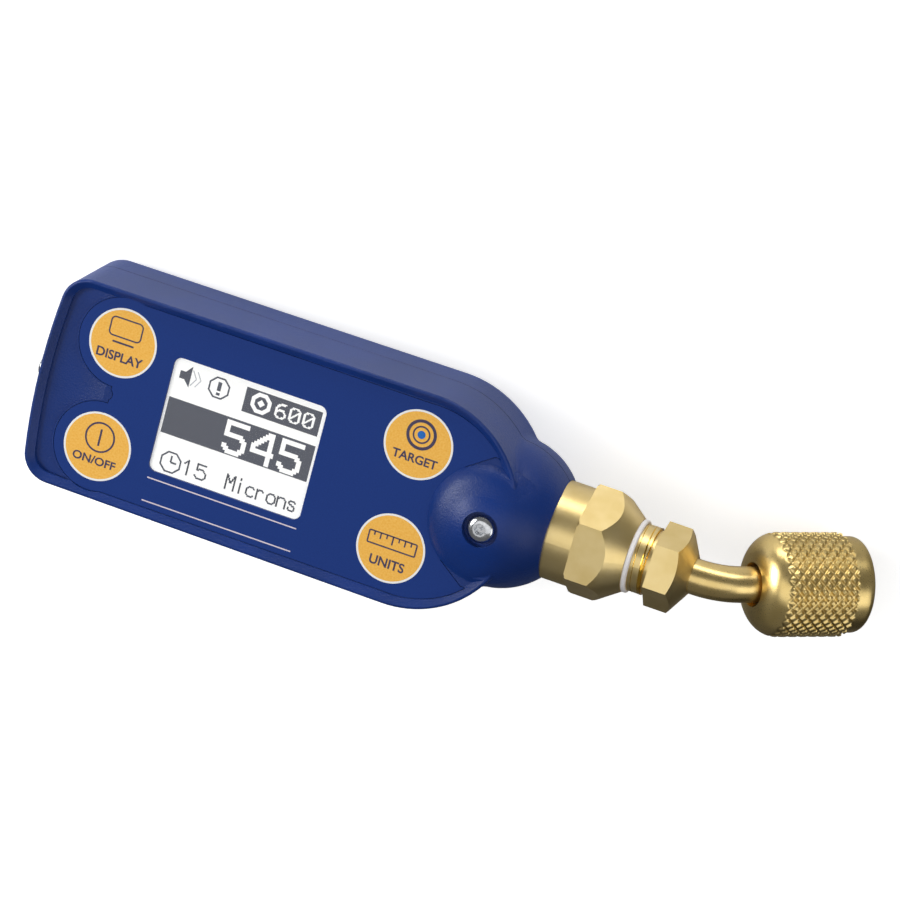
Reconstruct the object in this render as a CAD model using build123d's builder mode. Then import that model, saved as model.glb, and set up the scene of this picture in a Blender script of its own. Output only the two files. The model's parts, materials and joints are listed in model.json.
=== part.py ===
from build123d import *
import math
import os

# A hand-held digital vacuum gauge: a moulded housing of two shells with a printed film on its
# face, a ball-shaped end that clamps a brass sensor body, and an elbow with a knurled swivel nut.
# Frame: +X runs along the housing towards the nut, +Y across it and +Z out of the printed face.
# The origin lies on the flat back, midway between the four keys. All sizes are in millimetres.

# Heights above the flat back
part_z = 9.5  # plane where the shells meet, and height of the fitting's axis
film_z = 21.0  # outer face of the printed film
rim_height = 1.0  # how far the raised rim stands above the film
crest_z = film_z + rim_height

# Housing outline
left_end_x = -44.2
left_end_bow = 127.0  # radius of the slightly bowed left end
left_half_width = 20.4
left_corner_radius = 5.5
end_arc_x = 31.0
end_arc_radius = 20.9
back_edge_radius = 3.0
rim_edge_radius = 0.45
wall = 2.0
end_wall = 3.2  # the left end is thicker, because the hook lies in it
floor_thickness = 3.0
front_wall = 1.6
cavity_end_x = 40.0
cut_overlap = 1.0  # by which a cut reaches past a face, or into the room beside it

# Rim, recess and scoop of the face
rim_width = 0.55
rim_slope_width = 1.25
scoop_radius = 30.0
scoop_depth = 0.9
scoop_x = -38.3
scoop_margin = 0.25  # ledge of the shell that is left round the film in the scoop

# Ball end
ball_x = 46.0
ball_half_width = 14.4
ball_half_height = 16.0
ball_tolerance = 0.001  # share by which an edge may leave the ball and still count as on it
ball_blend = 2.5
neck_x = 57.0  # flat end of the ball, where the brass collar leaves it
parting_bevel = 0.1

# Keys and film
key_x = 29.81
key_y = 10.43
key_hole_radius = 4.5
film_thickness = 0.4
film_clearance = 0.12
lobe_radius = 8.7
film_half_width = 18.75
film_arc_radius = 18.8
film_arc_x = 31.7
film_notch_tip_x = -29.3
film_notch_tip_radius = 1.3
film_notch_angle = 65.0  # where the notch leaves each lobe, from the line through the lobes
film_cutout_x = 46.3
film_cutout_radius = 11.5
film_tip_point = (44.4, 13.0)  # the film's right-hand corners, beside the ball
film_tip_foot = (39.4, 9.35)

# Display
window_x = -3.9
window_length = 30.8
window_width = 22.9
window_corner = 1.5
lens_clearance = 0.08
lens_drop = 0.05
lens_thickness = 0.35
panel_thickness = 1.8
backlight_end_margin = 1.1  # by which the light guide is larger than the window
backlight_side_margin = 1.05
backlight_gap = 0.2  # from the light guide to the front wall
frame_wall = 1.1
frame_clearance = 0.1

# Circuit board and what is on it
board_drop = 6.0  # from the face of the film to the board
board_thickness = 1.6
board_left_x = -35.6
board_right_x = 37.0
board_half_width = 13.4
board_corner = 2.0
switch_side = 6.0
switch_height = 3.5
switch_corner = 0.6
plunger_radius = 1.7
plunger_chamfer = 0.2125
plunger_travel = 0.25
plunger_clearance = 0.05
plunger_gap = 0.3  # from the plunger to the film at rest
plunger_bore_depth = 1.6
chip_side = 9.0
chip_height = 1.4
chip_chamfer = 0.35
chip_point = (30.0, -7.0)
buzzer_point = (27.0, 6.0)
buzzer_radius = 5.0
buzzer_height = 4.5
buzzer_hole_radius = 0.9
buzzer_chamfer = 0.5

# Batteries, their door and contacts
battery_radius = 5.25
battery_length = 44.5
battery_tip_radius = 1.9
battery_tip = 0.9
battery_pitch = 10.8
battery_count = 3
battery_left_x = -32.6
battery_gap = 0.3  # between a battery and the door
contact_thickness = 0.4
contact_foot_z = 3.4
contact_strap = 7.3
contact_leg = 2.6
bay_left_gap = 2.0  # from the contacts to the ends of the bay
bay_right_gap = 0.7
bay_side_gap = 0.35
door_thickness = 1.8
door_corner = 2.5
door_clearance = 0.15
door_ledge = 1.2  # width of the ledge that the door lies on, at the left and the sides
door_side_ledge = 0.8
door_tongue = 6.5  # length of the door beyond the bay, where its screw is
door_screw_inset = 2.9
door_screw_clearance = 0.05
door_tab_width = 3.6
screw_slot_width = 0.5

# Screws and their bosses
screw_left_point = (-38.9, 15.0)
screw_door_gap = 3.7  # from the door's end to the screws beside it
screw_right_y = 16.2
boss_radius = 2.7
screw_head_radius = 2.2
screw_head_height = 1.6
screw_radius = 1.0
screw_clearance = 0.3
thread_clearance = 0.05
screw_head_z = 3.4
screw_length = 11.0
socket_across_flats = 1.6
board_screw_points = [(-24.9, 5.4), (-24.9, -5.4), (19.5, 5.4), (19.5, -5.4)]
board_boss_radius = 2.0
board_screw_head_radius = 1.7
board_screw_head_height = 0.7
board_screw_radius = 0.8
board_screw_length = 4.0

# Ball screw
ball_screw_head_radius = 2.65
ball_screw_head_height = 1.6
ball_screw_head_drop = 0.35  # top of the head below the top of the ball
ball_screw_radius = 1.5
ball_screw_hole = 1.65
ball_screw_recess = 3.45
ball_screw_end_z = 0.5
ball_screw_crown_shares = [(1.0, 0.5), (0.78, 0.86), (0.4, 1.0)]  # of the head's radius, height
ball_socket_radius = 0.92
ball_socket_lobe_count = 6
ball_socket_lobe_reach = 0.897  # from the socket's middle to the middle of each lobe
ball_socket_lobe_radius = 0.276
ball_socket_pin_radius = 0.345
ball_socket_depth = 1.0
ball_boss_radius = 3.6
insert_radius = 2.4
insert_foot_z = -1.0
insert_top_z = 6.5

# Sensor body
collar_radius = 9.5
hex_across_flats = 19.05
hex_start_x = 62.1
cone_start_x = 66.8
cone_end_x = 72.0
cone_end_radius = 7.15
flange_x = 51.5
flange_thickness = 2.0
flange_radius = 10.9
sensor_rear_x = 49.9
sensor_rear_gap = 0.3
sensor_rear_radius = 9.0
pocket_radius = 6.0
pocket_depth = 3.4
chamber_radius = 4.5
pipe_thread_radius = 6.55
pipe_thread_start_x = 61.0
fit_clearance = 0.05
ball_cavity_radius = 8.4
sensor_edge_chamfer = 0.4

# Sensor element in the rear of the sensor body
header_thickness = 2.2
header_clearance = 0.05
seal_wire_radius = 0.55
pin_circle_radius = 3.0
pin_count = 4
pin_start_angle = 45.0
pin_radius = 0.4
pin_front = 5.0
pin_rear = 0.9
bead_radius = 0.9
flex_width = 3.0
flex_y = 5.4
flex_thickness = 0.3
flex_board_overlap = 4.5
flex_bend_radius = 1.2
flex_header_gap = 0.1
flex_board_gap = 0.02
flex_knee_gap = 2.0  # from the middle of the ball back to the lead's lower knee

# Sealing ring and elbow fitting
ring_thickness = 1.0
ring_radius = 7.1
ring_edge = 0.2
shank_radius = 6.5
shank_start_x = 62.6
groove_radius = 6.05
groove_width = 0.9
small_hex_across_flats = 14.29
small_hex_roll = 49.0  # how far the small hexagon is screwed round, in degrees
small_hex_x = 76.6
small_cone_x = 81.1
small_cone_end_x = 83.8
small_cone_end_radius = 3.75
fitting_bore_radius = 2.3
tube_socket_depth = 4.0

# Elbow tube
tube_radius = 3.4
tube_bore_radius = 2.2
tube_straight = 0.5  # straight stretch between the cone and the bend
bend_radius = 12.4
bend_angle = 40.0
bend_roll = 9.0  # how far the bend is turned away from straight back, in degrees
tube_collar_radius = 4.7
tube_collar_start = 8.6  # distances along the nut's axis, from the end of the bend
tube_collar_length = 1.8
tube_collar_overlap = 0.1  # by which the collar reaches into the tube's wall

# Swivel nut, in distances along its own axis from the end of the bend
nut_back = 2.47
nut_dome_end = 7.5
nut_knurl_end = 20.0
nut_mouth = 24.0
nut_radius = 9.75
nut_rim_radius = 9.0
nut_mouth_round = 1.4
nut_land_clearance = 0.08
nut_hole_radius = 4.15
nut_hole_depth = 2.6
nut_thread_radius = 4.95
nut_thread_chamfer = 0.7
nut_relief_radius = 5.4
nut_relief_end = 14.0
nut_collar_gap = 0.1
seat_radius = 4.6
seat_thickness = 1.7
seat_bore_radius = 2.2
seat_edge = 0.3
depressor_disc = 1.0
depressor_arm_width = 1.3
depressor_arm_overlap = 0.15  # by which each arm reaches into the ring round it
depressor_pin_radius = 0.7
depressor_reach = 3.4

# Hanging hook
hook_wire_radius = 0.6
hook_leg_y = 1.5
hook_pivot_x = -42.9
hook_pivot_z = 3.6
hook_length = 13.6  # from the pivot to the start of the round end
hook_lean = 7.2  # degrees that the folded hook leans out of its groove
hook_ear = 2.6  # length of the turned ends beyond the legs
hook_corner = 1.0
hook_groove_half_width = 2.55
hook_groove_floor_x = -42.2
hook_groove_foot_z = 2.7
hook_groove_top_z = 19.6
hook_socket_clearance = 0.06
hook_socket_gap = 0.3  # beyond each turned end


def offset_outline(inset):
    """The housing's outline in plan, moved inwards by inset."""
    left_corner_x = left_end_x + left_half_width**2 / (2 * left_end_bow)
    reach = math.hypot(left_corner_x - end_arc_x, left_half_width)
    side_angle = math.atan2(left_half_width, left_corner_x - end_arc_x)
    touch_angle = side_angle - math.acos(end_arc_radius / reach)
    touch = (
        end_arc_x + end_arc_radius * math.cos(touch_angle),
        end_arc_radius * math.sin(touch_angle),
    )
    with BuildSketch() as outline:
        with BuildLine():
            Line((left_corner_x, left_half_width), touch)
            ThreePointArc(touch, (end_arc_x + end_arc_radius, 0), (touch[0], -touch[1]))
            Line((touch[0], -touch[1]), (left_corner_x, -left_half_width))
            ThreePointArc(
                (left_corner_x, -left_half_width),
                (left_end_x, 0),
                (left_corner_x, left_half_width),
            )
        make_face()
        corners = outline.vertices().group_by(Axis.X)[0]
        fillet(corners, left_corner_radius)
        if inset > 0:
            offset(amount=-inset, mode=Mode.REPLACE)
    return outline.sketch


def film_outline(growth):
    """The printed film in plan, grown all round by growth."""
    with BuildSketch() as outline:
        with Locations((film_arc_x, 0)):
            Circle(film_arc_radius)
        with Locations(((film_arc_x - key_x) / 2, 0)):
            Rectangle(film_arc_x + key_x, 2 * film_half_width)
        with Locations((-key_x, key_y), (-key_x, -key_y)):
            Circle(lobe_radius)
        # the notch between the two left lobes, round at its tip
        with BuildLine():
            tip_center_x = film_notch_tip_x - film_notch_tip_radius
            # where the notch's sides touch the lobes
            touch_x = -key_x - lobe_radius * math.cos(math.radians(film_notch_angle))
            touch_y = key_y - lobe_radius * math.sin(math.radians(film_notch_angle))
            mouth_x = -key_x - 2 * lobe_radius
            Polyline(
                (tip_center_x, film_notch_tip_radius),
                (tip_center_x, -film_notch_tip_radius),
                (touch_x, -touch_y),
                (mouth_x, -touch_y),
                (mouth_x, touch_y),
                (touch_x, touch_y),
                close=True,
            )
        make_face(mode=Mode.SUBTRACT)
        with Locations((tip_center_x, 0)):
            Circle(film_notch_tip_radius, mode=Mode.SUBTRACT)
        with Locations((film_cutout_x, 0)):
            Circle(film_cutout_radius, mode=Mode.SUBTRACT)
        with BuildLine():
            beyond_x = film_arc_x + 2 * film_arc_radius
            Polyline(
                film_tip_foot,
                film_tip_point,
                (beyond_x, film_tip_point[1]),
                (beyond_x, -film_tip_point[1]),
                (film_tip_point[0], -film_tip_point[1]),
                (film_tip_foot[0], -film_tip_foot[1]),
                close=True,
            )
        make_face(mode=Mode.SUBTRACT)
        if growth > 0:
            offset(amount=growth, kind=Kind.INTERSECTION, mode=Mode.REPLACE)
    return outline.sketch


def meets_ball(edge):
    """Whether an edge runs on the ball where the side walls and the crest meet it."""
    for position in (0.05, 0.5, 0.95):
        point = edge @ position
        across = math.hypot(point.X - ball_x, point.Y) / ball_half_width
        upward = (point.Z - part_z) / ball_half_height
        if abs(math.hypot(across, upward) - 1) > ball_tolerance:
            return False
        if point.Z < back_edge_radius:
            return False
    return True


def is_outside_neck(edge):
    """Whether an edge is clear of the flat end where the brass collar leaves the ball."""
    return edge.center().X < neck_x - parting_bevel


def nut_point(distance):
    """A point on the nut's axis, at this distance from the end of the bend."""
    return bend_end + nut_direction * distance


# The bend leaves the fitting's axis and turns towards the back of the housing
roll = math.radians(-90 + bend_roll)
turn = math.radians(bend_angle)
turn_side = Vector(0, math.cos(roll), math.sin(roll))
along = Vector(1, 0, 0)
bend_start = Vector(small_cone_end_x + tube_straight, 0, part_z)
bend_middle = (
    bend_start
    + along * (bend_radius * math.sin(turn / 2))
    + turn_side * (bend_radius * (1 - math.cos(turn / 2)))
)
bend_end = (
    bend_start
    + along * (bend_radius * math.sin(turn))
    + turn_side * (bend_radius * (1 - math.cos(turn)))
)
nut_direction = along * math.cos(turn) + turn_side * math.sin(turn)
# profiles on this plane have x outwards and y along the nut's axis
nut_plane = Plane(origin=bend_end, x_dir=turn_side.cross(along), z_dir=nut_direction)
nut_profile_plane = Plane(
    origin=bend_end,
    x_dir=nut_plane.x_dir,
    z_dir=nut_plane.x_dir.cross(nut_direction),
)
nut_axis = Axis(bend_end, nut_direction)
fitting_axis = Axis((0, 0, part_z), (1, 0, 0))
# profiles on this plane have x along the fitting's axis and y outwards
fitting_plane = Plane(origin=(0, 0, part_z), x_dir=(1, 0, 0), z_dir=(0, -1, 0))
cross_plane = Plane(origin=(0, 0, part_z), x_dir=(0, 1, 0), z_dir=(1, 0, 0))

film_seat_z = film_z - film_thickness
front_wall_z = film_seat_z - front_wall
board_top_z = film_z - board_drop
board_bottom_z = board_top_z - board_thickness
backlight_length = window_length + 2 * backlight_end_margin
backlight_width = window_width + 2 * backlight_side_margin
lens_foot_z = film_z - lens_drop - lens_thickness
panel_foot_z = lens_foot_z - panel_thickness
battery_z = door_thickness + battery_gap + battery_radius
battery_right_x = battery_left_x + battery_length
battery_half_width = (battery_count - 1) / 2 * battery_pitch + battery_radius
bay_left_x = battery_left_x - contact_thickness - bay_left_gap
bay_right_x = battery_right_x + contact_thickness + bay_right_gap
bay_half_width = battery_half_width + bay_side_gap
door_left_x = bay_left_x - door_ledge
door_right_x = bay_right_x + door_tongue
door_half_width = bay_half_width + door_side_ledge
door_screw_x = door_right_x - door_screw_inset
screw_right_x = door_right_x + screw_door_gap
screw_points = [
    screw_left_point,
    (screw_left_point[0], -screw_left_point[1]),
    (screw_right_x, screw_right_y),
    (screw_right_x, -screw_right_y),
]
ball_top_z = part_z + ball_half_height
head_floor_z = ball_top_z - ball_screw_head_drop - ball_screw_head_height
hook_direction = Vector(-math.sin(math.radians(hook_lean)), 0, math.cos(math.radians(hook_lean)))
hook_plane = Plane(
    origin=(hook_pivot_x, 0, hook_pivot_z),
    x_dir=(0, 1, 0),
    z_dir=Vector(0, 1, 0).cross(hook_direction),
)
key_points = [(-key_x, key_y), (-key_x, -key_y), (key_x, key_y), (key_x, -key_y)]

# Outer form of both shells together: the flat body with the ball in its end
with BuildPart() as ball_form:
    Sphere(ball_half_width)
    scale(by=(1, 1, ball_half_height / ball_half_width))

with BuildPart() as outer_form:
    with BuildSketch():
        add(offset_outline(0))
    extrude(amount=crest_z)
    fillet(outer_form.faces().sort_by(Axis.Z)[0].edges(), back_edge_radius)
    fillet(outer_form.faces().sort_by(Axis.Z)[-1].edges(), rim_edge_radius)
    with Locations((ball_x, 0, part_z)):
        add(ball_form.part)
    fillet(outer_form.edges().filter_by(meets_ball), ball_blend)
    with Locations((neck_x + ball_half_width, 0, part_z)):
        Box(
            2 * ball_half_width,
            4 * ball_half_width,
            4 * ball_half_height,
            mode=Mode.SUBTRACT,
        )

# Scoop in the left end of the face, round the film's lobes
with BuildPart() as scoop_form:
    with BuildSketch(Plane.XY.offset(film_z - 2 * scoop_depth)):
        add(offset_outline(rim_width + rim_slope_width))
        add(film_outline(film_clearance + scoop_margin), mode=Mode.SUBTRACT)
    extrude(amount=2 * scoop_depth + rim_height)
    scoop_center = Location((scoop_x, 0, film_z - scoop_depth + scoop_radius), (90, 0, 0))
    with Locations(scoop_center):
        Cylinder(scoop_radius, 4 * left_half_width, mode=Mode.INTERSECT)

# Room for what the housing holds: the flat body's cavity, the way into the ball and its seats
with BuildPart() as cavity:
    with BuildSketch(Plane.XY.offset(floor_thickness)):
        add(offset_outline(wall))
        # both ends are cut square by blocks as long as the body is wide
        block = 2 * left_half_width
        with Locations((cavity_end_x + block / 2, 0), (left_end_x + end_wall - block / 2, 0)):
            Rectangle(block, 2 * block, mode=Mode.SUBTRACT)
    extrude(amount=front_wall_z - floor_thickness)
    with BuildSketch(cross_plane.offset(cavity_end_x - cut_overlap)):
        Circle(ball_cavity_radius)
    extrude(amount=flange_x - cavity_end_x + cut_overlap)
    with BuildSketch(cross_plane.offset(flange_x - fit_clearance)):
        Circle(flange_radius + fit_clearance)
    extrude(amount=flange_thickness + 2 * fit_clearance)
    with BuildSketch(cross_plane.offset(sensor_rear_x - sensor_rear_gap)):
        Circle(collar_radius + fit_clearance)
    extrude(amount=neck_x + cut_overlap - sensor_rear_x + sensor_rear_gap)
    with BuildSketch(Plane.XY.offset(part_z - ball_half_height)):
        with Locations((ball_x, 0)):
            Circle(ball_boss_radius)
    extrude(amount=2 * ball_half_height, mode=Mode.SUBTRACT)

# Groove in the left end for the folded hook, with a socket for each of its turned ends
with BuildPart() as hook_room:
    groove_depth = hook_groove_floor_x - left_end_x + 2 * cut_overlap
    groove_height = hook_groove_top_z - hook_groove_foot_z
    with Locations((hook_groove_floor_x - groove_depth / 2, 0, hook_groove_foot_z + groove_height / 2)):
        Box(groove_depth, 2 * hook_groove_half_width, groove_height)
    with Locations(Plane.XZ):
        with Locations((hook_pivot_x, hook_pivot_z)):
            Cylinder(
                hook_wire_radius + hook_socket_clearance,
                2 * (hook_leg_y + hook_ear + hook_socket_gap),
            )

with BuildPart() as front_shell:
    add(outer_form.part)
    split(bisect_by=Plane.XY.offset(part_z), keep=Keep.TOP)
    chamfer(front_shell.faces().sort_by(Axis.Z)[0].edges().filter_by(is_outside_neck), parting_bevel)
    add(cavity.part, mode=Mode.SUBTRACT)
    # bosses for the housing screws and for the board
    with BuildSketch(Plane.XY.offset(part_z)):
        with Locations(*screw_points):
            Circle(boss_radius)
        with Locations(*screw_points):
            Circle(screw_radius + thread_clearance, mode=Mode.SUBTRACT)
    extrude(amount=front_wall_z - part_z)
    with BuildSketch(Plane.XY.offset(board_top_z)):
        with Locations(*board_screw_points):
            Circle(board_boss_radius)
        with Locations(*board_screw_points):
            Circle(board_screw_radius + thread_clearance, mode=Mode.SUBTRACT)
    extrude(amount=front_wall_z - board_top_z)
    # face recess inside the rim, its sloping edge, and the seat of the film
    with BuildSketch(Plane.XY.offset(film_z)):
        add(offset_outline(rim_width + rim_slope_width))
        with Locations((film_cutout_x, 0)):
            Circle(film_cutout_radius, mode=Mode.SUBTRACT)
        with Locations((film_cutout_x + film_cutout_radius, 0)):
            Rectangle(2 * film_cutout_radius, 2 * film_cutout_radius, mode=Mode.SUBTRACT)
    slope_angle = math.degrees(math.atan2(rim_slope_width, rim_height))
    extrude(amount=rim_height, taper=-slope_angle, mode=Mode.SUBTRACT)
    with BuildSketch(Plane.XY.offset(film_seat_z)):
        add(film_outline(film_clearance))
    extrude(amount=film_thickness + rim_height, mode=Mode.SUBTRACT)
    add(scoop_form.part, mode=Mode.SUBTRACT)
    # openings under the film
    with BuildSketch(Plane.XY.offset(front_wall_z)):
        with Locations((window_x, 0)):
            RectangleRounded(window_length, window_width, window_corner)
        with Locations(*key_points):
            Circle(key_hole_radius)
    extrude(amount=front_wall, mode=Mode.SUBTRACT)
    add(hook_room.part, mode=Mode.SUBTRACT)
    # the ball screw: hole and counterbore
    counterbore_depth = ball_top_z - head_floor_z
    with Locations((ball_x, 0, ball_top_z)):
        CounterBoreHole(
            ball_screw_hole, ball_screw_recess, counterbore_depth, depth=2 * ball_half_height
        )

with BuildPart() as back_shell:
    add(outer_form.part)
    split(bisect_by=Plane.XY.offset(part_z), keep=Keep.BOTTOM)
    chamfer(back_shell.faces().sort_by(Axis.Z)[-1].edges().filter_by(is_outside_neck), parting_bevel)
    add(cavity.part, mode=Mode.SUBTRACT)
    # bosses: housing screws, door screw and the insert of the ball screw
    with BuildSketch(Plane.XY.offset(floor_thickness)):
        with Locations(*screw_points):
            Circle(boss_radius)
    extrude(amount=part_z - floor_thickness)
    with BuildSketch(Plane.XY.offset(floor_thickness)):
        with Locations((door_screw_x, 0)):
            Circle(boss_radius)
    extrude(amount=screw_head_z)
    with Locations((0, 0, screw_head_z)):
        with Locations(*screw_points):
            Cylinder(
                screw_head_radius + screw_clearance,
                2 * (screw_head_z + screw_head_height),
                mode=Mode.SUBTRACT,
            )
            Cylinder(screw_radius + screw_clearance, 4 * part_z, mode=Mode.SUBTRACT)
    # battery bay: the opening, and the recess that takes the door
    with BuildSketch():
        with Locations(((bay_left_x + bay_right_x) / 2, 0)):
            RectangleRounded(bay_right_x - bay_left_x, 2 * bay_half_width, door_corner)
    extrude(amount=floor_thickness + cut_overlap, mode=Mode.SUBTRACT)
    with BuildSketch():
        with Locations(((door_left_x + door_right_x) / 2, 0)):
            RectangleRounded(
                door_right_x - door_left_x + 2 * door_clearance,
                2 * (door_half_width + door_clearance),
                door_corner,
            )
    extrude(amount=door_thickness + door_clearance, mode=Mode.SUBTRACT)
    with Locations((door_screw_x, 0, 0)):
        Cylinder(screw_radius + thread_clearance, 4 * part_z, mode=Mode.SUBTRACT)
    add(hook_room.part, mode=Mode.SUBTRACT)
    # blind seat of the threaded insert, open towards the front
    with BuildSketch(Plane.XY.offset(insert_foot_z)):
        with Locations((ball_x, 0)):
            Circle(insert_radius + fit_clearance)
    extrude(amount=part_z - insert_foot_z, mode=Mode.SUBTRACT)

# Printed film with its window
with BuildPart() as keypad_film:
    with BuildSketch(Plane.XY.offset(film_seat_z)):
        add(film_outline(0))
        with Locations((window_x, 0)):
            RectangleRounded(window_length, window_width, window_corner, mode=Mode.SUBTRACT)
    extrude(amount=film_thickness)

# Display: lens and glass in the window, the light guide under them and the frame round it
with BuildPart() as display_lens:
    with BuildSketch(Plane.XY.offset(lens_foot_z)):
        with Locations((window_x, 0)):
            RectangleRounded(
                window_length - 2 * lens_clearance,
                window_width - 2 * lens_clearance,
                window_corner - lens_clearance,
            )
    extrude(amount=lens_thickness)

with BuildPart() as display_panel:
    with BuildSketch(Plane.XY.offset(panel_foot_z)):
        with Locations((window_x, 0)):
            RectangleRounded(
                window_length - 2 * lens_clearance,
                window_width - 2 * lens_clearance,
                window_corner - lens_clearance,
            )
    extrude(amount=panel_thickness)

with BuildPart() as backlight:
    with BuildSketch(Plane.XY.offset(board_top_z)):
        with Locations((window_x, 0)):
            Rectangle(backlight_length, backlight_width)
    extrude(amount=front_wall_z - backlight_gap - board_top_z)
    with BuildSketch(Plane.XY.offset(board_top_z)):
        with Locations((window_x, 0)):
            RectangleRounded(
                window_length - 2 * lens_clearance,
                window_width - 2 * lens_clearance,
                window_corner - lens_clearance,
            )
    extrude(amount=panel_foot_z - board_top_z)

with BuildPart() as display_frame:
    with BuildSketch(Plane.XY.offset(board_top_z)):
        with Locations((window_x, 0)):
            RectangleRounded(
                backlight_length + 2 * (frame_clearance + frame_wall),
                backlight_width + 2 * (frame_clearance + frame_wall),
                frame_wall,
            )
            Rectangle(
                backlight_length + 2 * frame_clearance,
                backlight_width + 2 * frame_clearance,
                mode=Mode.SUBTRACT,
            )
    extrude(amount=front_wall_z - frame_clearance - board_top_z)

# Circuit board with its chip and buzzer
with BuildPart() as main_board:
    with BuildSketch(Plane.XY.offset(board_bottom_z)):
        with Locations(((board_left_x + board_right_x) / 2, 0)):
            RectangleRounded(board_right_x - board_left_x, 2 * board_half_width, board_corner)
        with Locations(*board_screw_points):
            Circle(board_screw_radius + screw_clearance, mode=Mode.SUBTRACT)
    extrude(amount=board_thickness)

with BuildPart() as processor_chip:
    with BuildSketch(Plane.XY.offset(board_bottom_z)):
        with Locations(chip_point):
            Rectangle(chip_side, chip_side)
    extrude(amount=-chip_height)
    chamfer(processor_chip.faces().sort_by(Axis.Z)[0].edges(), chip_chamfer)

with BuildPart() as buzzer:
    with BuildSketch(Plane.XY.offset(board_bottom_z)):
        with Locations(buzzer_point):
            Circle(buzzer_radius)
    extrude(amount=-buzzer_height)
    chamfer(buzzer.faces().sort_by(Axis.Z)[0].edges(), buzzer_chamfer)
    with Locations((*buzzer_point, board_bottom_z - buzzer_height)):
        Cylinder(buzzer_hole_radius, buzzer_height / 2, mode=Mode.SUBTRACT)

with BuildPart() as board_screws:
    with Locations(*[(x, y, board_bottom_z) for x, y in board_screw_points]):
        Cylinder(
            board_screw_head_radius,
            board_screw_head_height,
            align=(Align.CENTER, Align.CENTER, Align.MAX),
        )
        Cylinder(
            board_screw_radius,
            board_screw_length,
            align=(Align.CENTER, Align.CENTER, Align.MIN),
        )

# Key switches: a square body, and a plunger that travels in its bore
switch_bodies = []
switch_plungers = []
plunger_top_z = film_seat_z - plunger_gap
bore_floor_z = board_top_z + switch_height - plunger_bore_depth
for key_point in key_points:
    with BuildPart() as switch_body:
        with BuildSketch(Plane.XY.offset(board_top_z)):
            with Locations(key_point):
                RectangleRounded(switch_side, switch_side, switch_corner)
        extrude(amount=switch_height)
        with BuildSketch(Plane.XY.offset(bore_floor_z)):
            with Locations(key_point):
                Circle(plunger_radius + plunger_clearance)
        extrude(amount=plunger_bore_depth, mode=Mode.SUBTRACT)
    switch_bodies.append(switch_body)
    with BuildPart() as switch_plunger:
        with BuildSketch(Plane.XY.offset(bore_floor_z + plunger_travel + plunger_clearance)):
            with Locations(key_point):
                Circle(plunger_radius)
        extrude(amount=plunger_top_z - bore_floor_z - plunger_travel - plunger_clearance)
        chamfer(switch_plunger.edges().sort_by(Axis.Z)[-1], plunger_chamfer)
    switch_plungers.append(switch_plunger)

# Housing screws, entered from the back, with a hexagon socket
with BuildPart() as housing_screws:
    with Locations(*[(x, y, screw_head_z) for x, y in screw_points]):
        Cylinder(
            screw_head_radius,
            screw_head_height,
            align=(Align.CENTER, Align.CENTER, Align.MIN),
        )
    with Locations(*[(x, y, screw_head_z + screw_head_height) for x, y in screw_points]):
        Cylinder(screw_radius, screw_length, align=(Align.CENTER, Align.CENTER, Align.MIN))
    with BuildSketch(Plane.XY.offset(screw_head_z)):
        with Locations(*screw_points):
            RegularPolygon(socket_across_flats / 2, 6, major_radius=False)
    extrude(amount=screw_head_height / 2, mode=Mode.SUBTRACT)

# Battery door with its two tabs, and its screw
with BuildPart() as battery_door:
    door_middle_x = (door_left_x + door_right_x) / 2
    with BuildSketch():
        with Locations((door_middle_x, 0)):
            RectangleRounded(
                door_right_x - door_left_x,
                2 * door_half_width,
                door_corner - door_clearance,
            )
    extrude(amount=door_thickness)
    # each tab stands in the opening and reaches over the shell's ledge
    tab_foot_x = bay_left_x + door_clearance
    tab_z = floor_thickness + door_clearance
    tab_points = [(tab_foot_x, battery_pitch / 2), (tab_foot_x, -battery_pitch / 2)]
    with Locations(*[(x, y, door_thickness) for x, y in tab_points]):
        Box(
            door_ledge,
            door_tab_width,
            tab_z + door_ledge - door_thickness,
            align=(Align.MIN, Align.CENTER, Align.MIN),
        )
    with Locations(*[(x, y, tab_z) for x, y in tab_points]):
        Box(door_ledge, door_tab_width, door_ledge, align=(Align.MAX, Align.CENTER, Align.MIN))
    with Locations((door_screw_x, 0, 0)):
        Cylinder(screw_radius + screw_clearance, 4 * door_thickness, mode=Mode.SUBTRACT)
        Cylinder(screw_head_radius, door_thickness, mode=Mode.SUBTRACT)

with BuildPart() as door_screw:
    door_head_height = door_thickness / 2 - door_screw_clearance
    with Locations((door_screw_x, 0, door_thickness / 2)):
        Cylinder(
            screw_head_radius - door_screw_clearance,
            door_head_height,
            align=(Align.CENTER, Align.CENTER, Align.MAX),
        )
        Cylinder(
            screw_radius,
            screw_head_z + floor_thickness - door_thickness / 2,
            align=(Align.CENTER, Align.CENTER, Align.MIN),
        )
    with Locations((door_screw_x, 0, 0)):
        Box(2 * screw_radius, screw_slot_width, door_head_height, mode=Mode.SUBTRACT)

# Batteries, alternately turned, and the contacts at their ends
batteries = []
battery_rows = [(index - (battery_count - 1) / 2) * battery_pitch for index in range(battery_count)]
for index, battery_y in enumerate(battery_rows):
    tip_side = 1 if index % 2 == 0 else -1
    battery_plane = Plane(
        origin=(
            battery_left_x if tip_side > 0 else battery_right_x,
            battery_y,
            battery_z,
        ),
        x_dir=(tip_side, 0, 0),
        z_dir=(0, -tip_side, 0),
    )
    with BuildPart() as battery:
        with BuildSketch(battery_plane):
            with BuildLine():
                Polyline(
                    (0, 0),
                    (0, battery_radius),
                    (battery_length - battery_tip, battery_radius),
                    (battery_length - battery_tip, battery_tip_radius),
                    (battery_length, battery_tip_radius),
                    (battery_length, 0),
                    close=True,
                )
            make_face()
        revolve(axis=Axis(battery_plane.origin, battery_plane.x_dir))
    batteries.append(battery)

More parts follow.
